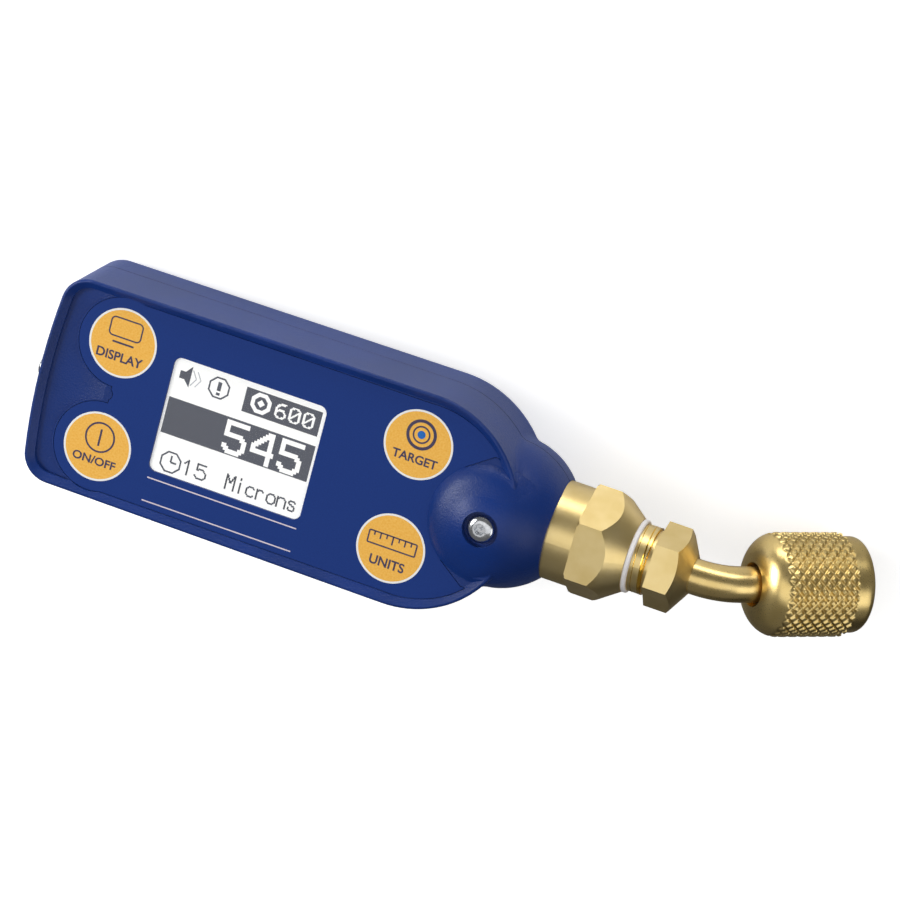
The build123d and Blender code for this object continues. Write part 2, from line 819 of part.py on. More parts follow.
battery_contacts = []
for contact_x in (battery_left_x - contact_thickness, battery_right_x):
    with BuildPart() as battery_contact:
        contact_height = board_bottom_z - contact_foot_z
        for battery_y in battery_rows:
            with Locations((contact_x, battery_y, contact_foot_z)):
                Box(
                    contact_thickness,
                    contact_strap,
                    2 * battery_z - 2 * contact_foot_z,
                    align=(Align.MIN, Align.CENTER, Align.MIN),
                )
        with Locations((contact_x, 0, battery_z)):
            Box(
                contact_thickness,
                battery_rows[-1] - battery_rows[0] + contact_strap,
                contact_leg,
                align=(Align.MIN, Align.CENTER, Align.CENTER),
            )
        # the leg that is soldered to the board
        with Locations((contact_x, battery_pitch, contact_foot_z)):
            Box(
                contact_thickness,
                contact_leg,
                contact_height,
                align=(Align.MIN, Align.CENTER, Align.MIN),
            )
    battery_contacts.append(battery_contact)

# Ball screw with its button head, and the threaded insert that it pulls on
with BuildPart() as ball_screw:
    with BuildSketch(Plane(origin=(ball_x, 0, head_floor_z), x_dir=(1, 0, 0), z_dir=(0, -1, 0))):
        with BuildLine():
            crown = [
                (ball_screw_head_radius * across, ball_screw_head_height * upward)
                for across, upward in ball_screw_crown_shares
            ]
            Polyline(
                (0, ball_screw_end_z - head_floor_z),
                (ball_screw_radius, ball_screw_end_z - head_floor_z),
                (ball_screw_radius, 0),
                (ball_screw_head_radius, 0),
                crown[0],
            )
            ThreePointArc(*crown)
            Polyline(
                crown[-1],
                (0, ball_screw_head_height),
                (0, ball_screw_end_z - head_floor_z),
            )
        make_face()
    revolve(axis=Axis((ball_x, 0, 0), (0, 0, 1)))
    # six-lobed socket with a pin left standing in its middle
    with BuildSketch(Plane.XY.offset(head_floor_z + ball_screw_head_height)):
        with Locations((ball_x, 0)):
            Circle(ball_socket_radius)
            with PolarLocations(ball_socket_lobe_reach, ball_socket_lobe_count):
                Circle(ball_socket_lobe_radius)
            Circle(ball_socket_pin_radius, mode=Mode.SUBTRACT)
    extrude(amount=-ball_socket_depth, mode=Mode.SUBTRACT)

with BuildPart() as screw_insert:
    with BuildSketch(Plane.XY.offset(insert_foot_z)):
        with Locations((ball_x, 0)):
            Circle(insert_radius)
            Circle(ball_screw_radius + thread_clearance, mode=Mode.SUBTRACT)
    extrude(amount=insert_top_z - insert_foot_z)

# Sensor body: collar, hexagon and cone in one brass piece
with BuildPart() as sensor_body:
    with BuildSketch(cross_plane.offset(hex_start_x)):
        RegularPolygon(hex_across_flats / 2, 6, major_radius=False)
    extrude(amount=cone_end_x - hex_start_x)
    corner_radius = hex_across_flats / 2 / math.cos(math.pi / 6)
    with BuildSketch(fitting_plane):
        with BuildLine():
            Polyline(
                (hex_start_x, 0),
                (hex_start_x, corner_radius - sensor_edge_chamfer),
                (hex_start_x + sensor_edge_chamfer, corner_radius),
                (cone_start_x, corner_radius),
                (cone_end_x, cone_end_radius),
                (cone_end_x, 0),
                close=True,
            )
        make_face()
    revolve(axis=fitting_axis, mode=Mode.INTERSECT)
    with BuildSketch(fitting_plane):
        with BuildLine():
            Polyline(
                (sensor_rear_x, 0),
                (sensor_rear_x, sensor_rear_radius),
                (flange_x, sensor_rear_radius),
                (flange_x, flange_radius),
                (flange_x + flange_thickness, flange_radius),
                (flange_x + flange_thickness, collar_radius),
                (hex_start_x, collar_radius),
                (hex_start_x, 0),
                close=True,
            )
        make_face()
    revolve(axis=fitting_axis)
    # pocket of the header, gas chamber and threaded socket
    with BuildSketch(fitting_plane):
        with BuildLine():
            Polyline(
                (sensor_rear_x, 0),
                (sensor_rear_x, pocket_radius),
                (sensor_rear_x + pocket_depth, pocket_radius),
                (sensor_rear_x + pocket_depth, chamber_radius),
                (pipe_thread_start_x, chamber_radius),
                (pipe_thread_start_x, pipe_thread_radius),
                (cone_end_x, pipe_thread_radius),
                (cone_end_x, 0),
                close=True,
            )
        make_face()
    revolve(axis=fitting_axis, mode=Mode.SUBTRACT)

# Header: sealed disc, its pins, the heated bead they carry, and its seal
pocket_floor_x = sensor_rear_x + pocket_depth
header_front_x = pocket_floor_x - 2 * seal_wire_radius
with BuildPart() as sensor_header:
    with BuildSketch(cross_plane.offset(header_front_x)):
        Circle(pocket_radius - header_clearance)
        with PolarLocations(pin_circle_radius, pin_count, start_angle=pin_start_angle):
            Circle(pin_radius, mode=Mode.SUBTRACT)
    extrude(amount=-header_thickness)

with BuildPart() as sensor_pins:
    with BuildSketch(cross_plane.offset(header_front_x - header_thickness - pin_rear)):
        with PolarLocations(pin_circle_radius, pin_count, start_angle=pin_start_angle):
            Circle(pin_radius)
    extrude(amount=pin_rear + header_thickness + pin_front)

with BuildPart() as sensor_element:
    bead_x = header_front_x + pin_front - 2 * pin_radius
    with Locations((bead_x, 0, part_z)):
        Sphere(bead_radius)
    with BuildSketch(cross_plane.offset(bead_x - pin_radius / 2)):
        Rectangle(2 * (pin_circle_radius - pin_radius), pin_radius, rotation=pin_start_angle)
    extrude(amount=pin_radius)

with BuildPart() as sensor_seal:
    with BuildSketch(fitting_plane):
        seal_circle_radius = pocket_radius - seal_wire_radius - header_clearance
        with Locations((pocket_floor_x - seal_wire_radius, seal_circle_radius)):
            Circle(seal_wire_radius)
    revolve(axis=fitting_axis)

# Flat lead from the header's pins to the underside of the board
with BuildPart() as sensor_flex:
    flex_end_x = header_front_x - header_thickness - flex_header_gap
    flex_top_z = board_bottom_z - flex_board_gap
    flex_low_z = part_z + pin_circle_radius
    with BuildSketch(Plane(origin=(0, flex_y, 0), x_dir=(1, 0, 0), z_dir=(0, -1, 0))):
        with BuildLine():
            FilletPolyline(
                (board_right_x - flex_board_overlap, flex_top_z - flex_thickness / 2),
                (board_right_x + 2 * flex_bend_radius, flex_top_z - flex_thickness / 2),
                (ball_x - flex_knee_gap, flex_low_z),
                (flex_end_x - flex_thickness, flex_low_z),
                radius=flex_bend_radius,
            )
            offset(amount=flex_thickness / 2, side=Side.BOTH)
        make_face()
    extrude(amount=flex_width / 2, both=True)

# White sealing ring between the cone and the elbow fitting
with BuildPart() as seal_ring:
    with BuildSketch(cross_plane.offset(cone_end_x)):
        Circle(ring_radius)
        Circle(shank_radius + fit_clearance, mode=Mode.SUBTRACT)
    extrude(amount=ring_thickness)
    chamfer(seal_ring.edges().filter_by(GeomType.CIRCLE).group_by(SortBy.RADIUS)[-1], ring_edge)

# Elbow fitting: threaded shank, small hexagon and steep cone
with BuildPart() as elbow_fitting:
    with BuildSketch(cross_plane.offset(small_hex_x)):
        RegularPolygon(
            small_hex_across_flats / 2, 6, major_radius=False, rotation=small_hex_roll
        )
    extrude(amount=small_cone_end_x - small_hex_x)
    small_corner_radius = small_hex_across_flats / 2 / math.cos(math.pi / 6)
    with BuildSketch(fitting_plane):
        with BuildLine():
            Polyline(
                (small_hex_x, 0),
                (small_hex_x, small_corner_radius),
                (small_cone_x, small_corner_radius),
                (small_cone_end_x, small_cone_end_radius),
                (small_cone_end_x, 0),
                close=True,
            )
        make_face()
    revolve(axis=fitting_axis, mode=Mode.INTERSECT)
    with BuildSketch(fitting_plane):
        with BuildLine():
            Polyline(
                (shank_start_x, 0),
                (shank_start_x, shank_radius - groove_width / 2),
                (shank_start_x + groove_width / 2, shank_radius),
                (small_hex_x - groove_width, shank_radius),
                (small_hex_x - groove_width, groove_radius),
                (small_hex_x, groove_radius),
                (small_hex_x, 0),
                close=True,
            )
        make_face()
    revolve(axis=fitting_axis)
    with BuildSketch(cross_plane.offset(shank_start_x)):
        Circle(fitting_bore_radius)
    extrude(amount=small_cone_end_x - shank_start_x, mode=Mode.SUBTRACT)
    with BuildSketch(cross_plane.offset(small_cone_end_x)):
        Circle(tube_radius + fit_clearance)
    extrude(amount=-tube_socket_depth, mode=Mode.SUBTRACT)

# Elbow tube: swept along its bend, with the upset collar that holds the nut
with BuildPart() as elbow_tube:
    with BuildLine() as tube_path:
        Line((small_cone_end_x - tube_socket_depth, 0, part_z), bend_start)
        ThreePointArc(bend_start, bend_middle, bend_end)
        Line(bend_end, nut_point(tube_collar_start + tube_collar_length))
    with BuildSketch(cross_plane.offset(small_cone_end_x - tube_socket_depth)):
        Circle(tube_radius)
        Circle(tube_bore_radius, mode=Mode.SUBTRACT)
    sweep(path=tube_path.wires()[0])
    with BuildSketch(nut_plane.offset(tube_collar_start)):
        Circle(tube_collar_radius)
        Circle(tube_radius - tube_collar_overlap, mode=Mode.SUBTRACT)
    extrude(amount=tube_collar_length)

# Soft seat against the collar, and the pin piece that opens the port's valve core
seat_foot = tube_collar_start + tube_collar_length
with BuildPart() as nut_seal:
    with BuildSketch(nut_plane.offset(seat_foot)):
        Circle(seat_radius)
        Circle(seat_bore_radius, mode=Mode.SUBTRACT)
    extrude(amount=seat_thickness)
    chamfer(nut_seal.edges().filter_by(GeomType.CIRCLE).sort_by(SortBy.RADIUS)[-1], seat_edge)

with BuildPart() as core_depressor:
    with BuildSketch(nut_plane.offset(seat_foot - depressor_disc)):
        depressor_arm = 2 * (tube_bore_radius - depressor_pin_radius + depressor_arm_overlap)
        Circle(tube_bore_radius - fit_clearance)
        Circle(tube_bore_radius - depressor_pin_radius, mode=Mode.SUBTRACT)
        Rectangle(depressor_arm, depressor_arm_width)
        Rectangle(depressor_arm_width, depressor_arm)
    extrude(amount=depressor_disc)
    with BuildSketch(nut_plane.offset(seat_foot - depressor_disc)):
        Circle(depressor_pin_radius)
    extrude(amount=depressor_disc + depressor_reach)

# Swivel nut: domed back, knurled band and plain rim, bored for the tube and the thread
with BuildPart() as flare_nut:
    with BuildSketch(nut_profile_plane):
        with BuildLine():
            land_radius = tube_radius + nut_land_clearance
            shoulder = tube_collar_start - nut_collar_gap
            dome_depth = nut_dome_end - nut_back
            dome_height = nut_radius - nut_hole_radius
            l1 = Line((nut_hole_radius, nut_back), (land_radius, nut_back + nut_hole_depth))
            l2 = Polyline(
                l1 @ 1,
                (land_radius, shoulder),
                (nut_relief_radius, shoulder),
                (nut_relief_radius, nut_relief_end),
                (nut_thread_radius, nut_relief_end),
                (nut_thread_radius, nut_mouth - nut_thread_chamfer),
                (nut_thread_radius + nut_thread_chamfer, nut_mouth),
                (nut_rim_radius - nut_mouth_round, nut_mouth),
            )
            l3 = RadiusArc(
                l2 @ 1, (nut_rim_radius, nut_mouth - nut_mouth_round), nut_mouth_round
            )
            Polyline(
                l3 @ 1,
                (nut_rim_radius, nut_knurl_end),
                (nut_radius, nut_knurl_end),
                (nut_radius, nut_dome_end),
            )
            EllipticalCenterArc(
                (nut_hole_radius, nut_dome_end),
                dome_height,
                dome_depth,
                start_angle=270,
                arc_size=90,
            )
        make_face()
    revolve(axis=nut_axis)

# Hanging hook: one bent wire with turned-out ends
with BuildPart() as hanging_hook:
    with BuildLine(hook_plane) as hook_path:
        FilletPolyline(
            (-hook_leg_y - hook_ear, 0),
            (-hook_leg_y, 0),
            (-hook_leg_y, hook_length),
            radius=hook_corner,
        )
        ThreePointArc(
            (-hook_leg_y, hook_length), (0, hook_length + hook_leg_y), (hook_leg_y, hook_length)
        )
        FilletPolyline(
            (hook_leg_y, hook_length),
            (hook_leg_y, 0),
            (hook_leg_y + hook_ear, 0),
            radius=hook_corner,
        )
    with BuildSketch(
        Plane(
            origin=(hook_pivot_x, -hook_leg_y - hook_ear, hook_pivot_z),
            x_dir=(1, 0, 0),
            z_dir=(0, 1, 0),
        )
    ):
        Circle(hook_wire_radius)
    sweep(path=hook_path.wires()[0])

pieces = {
    "front_shell": front_shell,
    "back_shell": back_shell,
    "keypad_film": keypad_film,
    "display_lens": display_lens,
    "display_panel": display_panel,
    "backlight": backlight,
    "display_frame": display_frame,
    "main_board": main_board,
    "processor_chip": processor_chip,
    "buzzer": buzzer,
    "board_screws": board_screws,
    "housing_screws": housing_screws,
    "battery_door": battery_door,
    "door_screw": door_screw,
    "ball_screw": ball_screw,
    "screw_insert": screw_insert,
    "sensor_body": sensor_body,
    "sensor_header": sensor_header,
    "sensor_pins": sensor_pins,
    "sensor_element": sensor_element,
    "sensor_seal": sensor_seal,
    "sensor_flex": sensor_flex,
    "seal_ring": seal_ring,
    "elbow_fitting": elbow_fitting,
    "elbow_tube": elbow_tube,
    "nut_seal": nut_seal,
    "core_depressor": core_depressor,
    "flare_nut": flare_nut,
    "hanging_hook": hanging_hook,
}
for number, piece in enumerate(switch_bodies, start=1):
    pieces[f"switch_body_{number}"] = piece
for number, piece in enumerate(switch_plungers, start=1):
    pieces[f"switch_plunger_{number}"] = piece
for number, piece in enumerate(batteries, start=1):
    pieces[f"battery_{number}"] = piece
for side, piece in zip(("left", "right"), battery_contacts):
    pieces[f"battery_contact_{side}"] = piece

os.makedirs("parts", exist_ok=True)
for name, piece in pieces.items():
    piece.part.label = name
    export_step(piece.part, f"parts/{name}.step")
print("bend end", bend_end, "nut direction", nut_direction)
print("hook direction", hook_direction)
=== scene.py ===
# %% [markdown]
# # A digital vacuum gauge, dressed
# The gauge is a blue moulded housing with a printed film on its face, and a train of brass
# fittings that ends in a knurled swivel nut. Its solids come in as a fixed frame. This lesson
# gives each surface its finish and adds what is too fine for the solids: the knurl, the threads,
# the print on the film and the picture on the display.

# %% Load the frame
import json
import math

import bpy
from mathutils import Matrix, Vector


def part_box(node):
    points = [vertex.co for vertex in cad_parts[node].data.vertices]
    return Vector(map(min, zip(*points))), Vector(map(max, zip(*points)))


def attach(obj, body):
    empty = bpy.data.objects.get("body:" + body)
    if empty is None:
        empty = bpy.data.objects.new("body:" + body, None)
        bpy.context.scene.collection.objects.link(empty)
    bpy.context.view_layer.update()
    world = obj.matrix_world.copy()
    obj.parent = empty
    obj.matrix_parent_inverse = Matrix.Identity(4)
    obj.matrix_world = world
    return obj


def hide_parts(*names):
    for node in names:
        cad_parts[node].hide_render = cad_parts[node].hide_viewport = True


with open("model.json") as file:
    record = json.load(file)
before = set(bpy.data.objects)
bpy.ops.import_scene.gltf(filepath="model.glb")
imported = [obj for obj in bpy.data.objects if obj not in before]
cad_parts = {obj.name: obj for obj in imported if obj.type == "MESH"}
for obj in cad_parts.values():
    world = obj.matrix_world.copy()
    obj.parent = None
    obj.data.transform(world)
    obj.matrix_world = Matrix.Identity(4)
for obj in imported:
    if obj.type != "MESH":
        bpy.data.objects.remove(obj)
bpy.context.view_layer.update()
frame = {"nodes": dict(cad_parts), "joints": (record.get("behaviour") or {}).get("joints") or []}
nodes = frame["nodes"]

# %% [markdown]
# Sizes below are in millimetres, as on a drawing, and Blender works in metres. One factor turns
# them. Colours are written as sRGB hex, as a paint chart gives them, and shaders want linear
# light, so one function turns those too.

# %% Units and colours
MM = 0.001


def colour(code):
    """Linear RGBA of an sRGB hex colour such as '012a6e'."""
    channels = [int(code[i : i + 2], 16) / 255 for i in (0, 2, 4)]
    linear = [c / 12.92 if c <= 0.04045 else ((c + 0.055) / 1.055) ** 2.4 for c in channels]
    return (*linear, 1.0)


print("housing blue in linear light:", [round(c, 3) for c in colour("012a6e")])

# %% [markdown]
# A material is a small graph. One helper adds a node: its settings go by name, and an input takes
# either a plain value or the output of another node.

# %% One helper for shader nodes


def add_node(tree, kind, inputs=None, **settings):
    """Adds a node of this kind; inputs maps a socket to a value or to another node's output."""
    added = tree.nodes.new(kind)
    for name, value in settings.items():
        setattr(added, name, value)
    for socket, value in (inputs or {}).items():
        if isinstance(value, bpy.types.NodeSocket):
            tree.links.new(value, added.inputs[socket])
        else:
            added.inputs[socket].default_value = value
    return added


def start_material(name):
    """An empty material, its tree, and the position in metres on the object's own axes."""
    material = bpy.data.materials.new(name)
    material.use_nodes = True
    material.node_tree.nodes.clear()
    place = add_node(material.node_tree, "ShaderNodeTexCoord").outputs["Object"]
    return material, material.node_tree, place


def finish_material(tree, shader):
    """Leads a shader to the material's surface."""
    add_node(tree, "ShaderNodeOutputMaterial", {"Surface": shader.outputs[0]})


print("helpers ready")

# %% [markdown]
# A pattern's scale in Blender is how many features fit into one metre. It is worked out from the
# real size of one feature, so a moulding grain of a quarter of a millimetre stays that on any part.

# %% Noise from real sizes


def grain(tree, place, size_mm, detail=2.0, stretch=(1.0, 1.0, 1.0)):
    """Noise whose features are about size_mm across, drawn out along an axis by stretch."""
    scaled = add_node(
        tree,
        "ShaderNodeMapping",
        {"Vector": place, "Scale": tuple(1.0 / (size_mm * MM * s) for s in stretch)},
    )
    return add_node(
        tree,
        "ShaderNodeTexNoise",
        {"Vector": scaled.outputs[0], "Scale": 1.0, "Detail": detail, "Roughness": 0.55},
    ).outputs[0]


print("a grain of 0.25 mm is noise at scale", 1 / (0.25 * MM))

# %% [markdown]
# The finishes are all built alike. A noise lets the colour wander a little between two tones. The
# marks that a mould or a tool has left make some spots rougher than others, and they stand up as
# relief. From one finish to the next only the numbers change, so one function holds the graph.

# %% A surface with marks
JOINT_SHADE = "050a20"


def surface(tree, cloud, marks, tones, rough, relief, inputs, stops=(0.35, 0.65), line=None):
    """Builds a finish and leads it to the material's surface.

    The factor cloud leads the colour between two tones. The factor marks leads the roughness
    between two values, and relief says how many mm the marks stand high and how strongly they
    show. Where the factor line is high, the colour turns to the shade in a joint.
    """
    ramp = add_node(tree, "ShaderNodeValToRGB", {"Fac": cloud})
    for element, stop, tone in zip(ramp.color_ramp.elements, stops, tones):
        element.position = stop
        element.color = colour(tone)
    base = ramp.outputs[0]
    if line is not None:
        shaded = {"Fac": line, "Color1": base, "Color2": colour(JOINT_SHADE)}
        base = add_node(tree, "ShaderNodeMixRGB", shaded).outputs[0]
    roughness = add_node(
        tree, "ShaderNodeMapRange", {"Value": marks, "To Min": rough[0], "To Max": rough[1]}
    )
    raised = add_node(
        tree,
        "ShaderNodeBump",
        {"Height": marks, "Distance": relief[0] * MM, "Strength": relief[1]},
    )
    look = {"Base Color": base, "Roughness": roughness.outputs[0], "Normal": raised.outputs[0]}
    finish_material(tree, add_node(tree, "ShaderNodeBsdfPrincipled", look | inputs))


print("surface ready, with", JOINT_SHADE, "for the shade in a joint")

# %% [markdown]
# The housing is injection moulded ABS. Its mould was spark eroded, which leaves a fine even grain:
# the eye sees a satin surface with a soft sparkle in the highlight, and a pale sheen where the
# surface is seen at a low angle. The real grain, about 0.1 mm, is too fine to show here, so it is
# drawn at 0.36 mm. The two shells meet in a gap too narrow to look into, and the eye sees it as a
# fine dark line. The material draws that line at the height of the joint.

# %% Moulded ABS, spark-eroded satin
JOINT_CORE, JOINT_EDGE = 0.09, 0.16  # mm from the joint: full shade up to here, none from here on
JOINT_SHARE = 0.75


def moulded_abs(name, tones, rough, seam_m=None):
    """Satin plastic; seam_m is the height of the joint between two shells, if it has one."""
    material, tree, place = start_material(name)
    line = None
    if seam_m is not None:
        height = add_node(tree, "ShaderNodeSeparateXYZ", {"Vector": place}).outputs["Z"]
        above = add_node(tree, "ShaderNodeMath", {0: height, 1: seam_m}, operation="SUBTRACT")
        away = add_node(tree, "ShaderNodeMath", {0: above.outputs[0]}, operation="ABSOLUTE")
        fade = {"From Min": JOINT_CORE * MM, "From Max": JOINT_EDGE * MM}
        fade |= {"Value": away.outputs[0], "To Min": JOINT_SHARE, "To Max": 0.0}
        line = add_node(tree, "ShaderNodeMapRange", fade).outputs[0]
    surface(
        tree,
        cloud=grain(tree, place, size_mm=14.0, detail=1.0),
        marks=grain(tree, place, size_mm=0.36, detail=3.0),
        tones=tones,
        rough=(rough - 0.08, rough + 0.08),
        relief=(0.06, 1.0),
        inputs={
            "IOR": 1.53,
            "Specular IOR Level": 0.34,
            "Sheen Weight": 0.12,
            "Sheen Roughness": 0.4,
            "Sheen Tint": colour("8fb0ff"),
        },
        line=line,
    )
    return material


seam_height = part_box("back_shell")[1].z
housing_abs = moulded_abs("abs_moulded_blue", ("012a6e", "022e78"), 0.38, seam_height)
black_abs = moulded_abs("abs_moulded_black", ("0c0d10", "131418"), 0.5)
print("made", housing_abs.name, black_abs.name, "with a seam at", round(seam_height, 4))

# %% [markdown]
# The face is a polycarbonate film, printed on its back and lightly textured on its front. The
# texture is finer than that of the housing, so the film looks flatter and calmer. At its real
# size, about 0.05 mm, it couldn't be seen, so it is drawn at 0.3 mm.

# %% Polycarbonate film and inks


def printed_film(name, tones, speckle_mm=0.3, texture=0.25, glow=0.0):
    """A printed film, or an ink on it, with a faint speckle; a lit display also glows."""
    material, tree, place = start_material(name)
    speckle = grain(tree, place, speckle_mm)
    surface(
        tree,
        cloud=speckle,
        marks=speckle,
        tones=tones,
        rough=(0.51, 0.59),
        relief=(0.01, texture),
        inputs={
            "IOR": 1.58,
            "Specular IOR Level": 0.2,
            "Emission Color": colour("ffffff"),
            "Emission Strength": glow,
        },
        stops=(0.3, 0.7),
    )
    return material


film_blue = printed_film("polycarbonate_film_blue", ("082f78", "0b347e"))
ink_amber = printed_film("screen_ink_amber", ("f2b145", "fac45f"), speckle_mm=0.35)
ink_white = printed_film("screen_ink_white", ("f0f0ee", "f6f6f4"))
ink_slate = printed_film("screen_ink_slate", ("453f58", "4d4760"))
ink_sky = printed_film("screen_ink_sky", ("1f66b8", "2470c4"))
ink_rule = printed_film("screen_ink_rule", ("d8ccd6", "e2d6de"))
screen_pale = printed_film("display_glass_pale", ("f3f3f1", "f7f7f5"), texture=0.0, glow=0.25)
screen_dark = printed_film("display_segment_dark", ("3f4352", "454958"), texture=0.0)
screen_grey = printed_film("display_segment_grey", ("b9bcc2", "c4c7cc"), texture=0.0)
print("made the film's blue, its inks and the display's greys")

# %% [markdown]
# The fittings are free-cutting brass. Turned faces carry fine rings round their axis and milled
# flats a short straight grain. Both blur the reflections along one direction, which reads as satin.
# The real tool marks, under 0.05 mm apart, are finer than a pixel here, so they are drawn at
# 0.24 mm, as a sandy grain that runs with the tool.

# %% Brass, turned, milled and drawn
TURNED, DRAWN, EVEN = (1.0, 3.0, 3.0), (6.0, 1.0, 1.0), (1.0, 1.0, 1.0)


def machined_brass(name, tones, mark_mm, stretch, rough, depth_mm=0.006):
    """Brass with tool marks mark_mm wide, drawn out along an axis by stretch."""
    material, tree, place = start_material(name)
    surface(
        tree,
        cloud=grain(tree, place, size_mm=5.0),
        marks=grain(tree, place, mark_mm, detail=3.0, stretch=stretch),
        tones=tones,
        rough=(rough - 0.05, rough + 0.07),
        relief=(depth_mm, 0.5),
        inputs={"Metallic": 1.0},
    )
    return material


# Name, tones, width of the marks in mm, their stretch, roughness, and relief in mm
brass_turned = machined_brass("brass_turned", ("e2c888", "ebd397"), 0.24, TURNED, 0.35, 0.022)
brass_drawn = machined_brass("brass_drawn_tube", ("dcc07e", "e6cb8a"), 0.2, DRAWN, 0.28)
brass_knurled = machined_brass("brass_knurled", ("e2c680", "ebd08c"), 0.2, EVEN, 0.28, 0.01)
brass_bright = machined_brass("brass_thread_glossy", ("e2ad3c", "eab94c"), 0.3, TURNED, 0.12)
print("made four brass finishes")

# %% [markdown]
# The ball's screw is zinc plated steel: bright, a little cloudy. The hook is drawn stainless wire.
# The ring between the fittings is PTFE, white and waxy. Seals, circuit board, batteries and the
# fused glass of the header lie inside, so a plain finish is enough for each.

# %% Plated steel, wire and the soft parts


def plated_steel(name, tones, rough):
    """Bright steel with a faint cloudiness."""
    material, tree, place = start_material(name)
    cloud = grain(tree, place, size_mm=0.6, detail=3.0)
    span = (rough - 0.05, rough + 0.05)
    surface(tree, cloud, cloud, tones, span, (0.004, 0.4), {"Metallic": 1.0})
    return material


def soft_polymer(name, tones, rough, ior):
    """Rubber, resin or glass without much of a mark on it."""
    material, tree, place = start_material(name)
    fine = grain(tree, place, size_mm=0.4)
    surface(tree, fine, fine, tones, (rough - 0.05, rough + 0.05), (0.01, 0.3), {"IOR": ior})
    return material


zinc_steel = plated_steel("steel_zinc_plated", ("c3c6ca", "d4d6d9"), 0.2)
wire_steel = plated_steel("steel_drawn_wire", ("b9bcc0", "cdd0d3"), 0.25)
ptfe_white = soft_polymer("ptfe_sealing_ring", ("ece9ea", "f4f2f2"), 0.5, 1.35)
nitrile_black = soft_polymer("nitrile_rubber", ("101012", "18181a"), 0.6, 1.52)
board_green = soft_polymer("board_solder_mask", ("0d5a2c", "116634"), 0.3, 1.5)
flex_amber = soft_polymer("polyimide_flex", ("b5691a", "c27420"), 0.3, 1.6)
guide_white = soft_polymer("acrylic_light_guide", ("eef0f2", "f6f8fa"), 0.2, 1.49)
battery_wrap = soft_polymer("battery_wrap_grey", ("24282c", "2d3236"), 0.25, 1.5)
fused_glass = soft_polymer("glass_fused_header", ("5a7f74", "668b80"), 0.1, 1.52)
print("made steel and soft finishes")

# %% [markdown]
# The display's lens is a clear sheet a third of a millimetre thick. It does no more than add a
# gloss over the picture, so it is drawn as a surface that lets light straight through, and keeps
# only its reflection.

# %% Clear lens
lens_clear, tree, place = start_material("acrylic_lens_clear")
scuffs = {"Value": grain(tree, place, size_mm=0.5), "To Min": 0.05, "To Max": 0.08}
polish = add_node(tree, "ShaderNodeMapRange", scuffs)
lens_shader = add_node(
    tree,
    "ShaderNodeBsdfPrincipled",
    {
        "Base Color": colour("f4f6f7"),
        "Roughness": polish.outputs[0],
        "IOR": 1.49,
        "Alpha": 0.08,
    },
)
finish_material(tree, lens_shader)
print("made", lens_clear.name)

# %% [markdown]
# Every solid of the frame gets one of these finishes. Faces that were round on the real part are
# shaded smooth, and edges sharper than thirty degrees stay crisp.

# %% Dress the solids
EDGE_ANGLE = math.radians(30)
FINISHES = {
    housing_abs: ("front_shell", "back_shell", "battery_door"),
    black_abs: ("display_frame", "processor_chip", "buzzer", "switch_body", "switch_plunger"),
    film_blue: ("keypad_film",),
    lens_clear: ("display_lens",),
    screen_pale: ("display_panel",),
    guide_white: ("backlight",),
    board_green: ("main_board",),
    zinc_steel: ("ball_screw", "board_screws", "housing_screws", "door_screw"),
    wire_steel: ("hanging_hook", "battery_contact", "sensor_pins", "sensor_element"),
    brass_turned: ("sensor_body", "elbow_fitting", "screw_insert", "core_depressor"),
    brass_drawn: ("elbow_tube",),
    brass_knurled: ("flare_nut",),
    ptfe_white: ("seal_ring",),
    nitrile_black: ("nut_seal", "sensor_seal"),
    fused_glass: ("sensor_header",),
    flex_amber: ("sensor_flex",),
    battery_wrap: ("battery_1", "battery_2", "battery_3"),
}
for finish, names in FINISHES.items():
    for node_name, solid in nodes.items():
        if node_name.startswith(names):
            solid.data.materials.clear()
            solid.data.materials.append(finish)
            solid.data.polygons.foreach_set("use_smooth", [True] * len(solid.data.polygons))
            solid.data.set_sharp_from_angle(angle=EDGE_ANGLE)
dressed = [name for name, solid in nodes.items() if solid.active_material]
print("solids:", len(nodes), "dressed:", len(dressed))

# %% [markdown]
# Print and display picture are thin plates. A plate is an outline in the face's own x and y, in
# millimetres, raised by a few hundredths. An outline with a matching inner one makes a ring.

# %% Plates from outlines


def plate(outer, inner=None):
    """Corners and faces of a plate from level 0 up to 1, or of a ring if inner is given."""
    count = len(outer)
    loops = [outer] if inner is None else [outer, inner]
    corners = [(x, y, level) for level in (0, 1) for loop in loops for x, y in loop]
    step = count * len(loops)
    faces = []
    for k in range(count):
        after = (k + 1) % count
        faces.append((k, after, step + after, step + k))
        if inner is not None:
            faces.append((count + after, count + k, step + count + k, step + count + after))
            faces.append((step + k, step + after, step + count + after, step + count + k))
            faces.append((after, k, count + k, count + after))
    if inner is None:
        faces.append(tuple(range(step, step + count)))
        faces.append(tuple(reversed(range(count))))
    return corners, faces


def place_piece(name, mesh, material, body):
    """Puts a mesh into the scene as a piece with a finish, on the body that carries it."""
    piece = bpy.data.objects.new(name, mesh)
    bpy.context.scene.collection.objects.link(piece)
    mesh.materials.append(material)
    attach(piece, body)
    return piece


def add_piece(name, parts, foot_m, thick_mm, material):
    """One piece of the housing from plates that stand at foot_m and are thick_mm thick."""
    corners, faces = [], []
    for part_corners, part_faces in parts:
        base = len(corners)
        corners += [
            (x * MM, y * MM, foot_m + level * thick_mm * MM) for x, y, level in part_corners
        ]
        faces += [tuple(base + k for k in face) for face in part_faces]
    mesh = bpy.data.meshes.new(name)
    mesh.from_pydata(corners, [], faces)
    mesh.update()
    place_piece(name, mesh, material, "housing")


print("a square plate has", len(plate([(0, 0), (1, 0), (1, 1), (0, 1)])[1]), "faces")

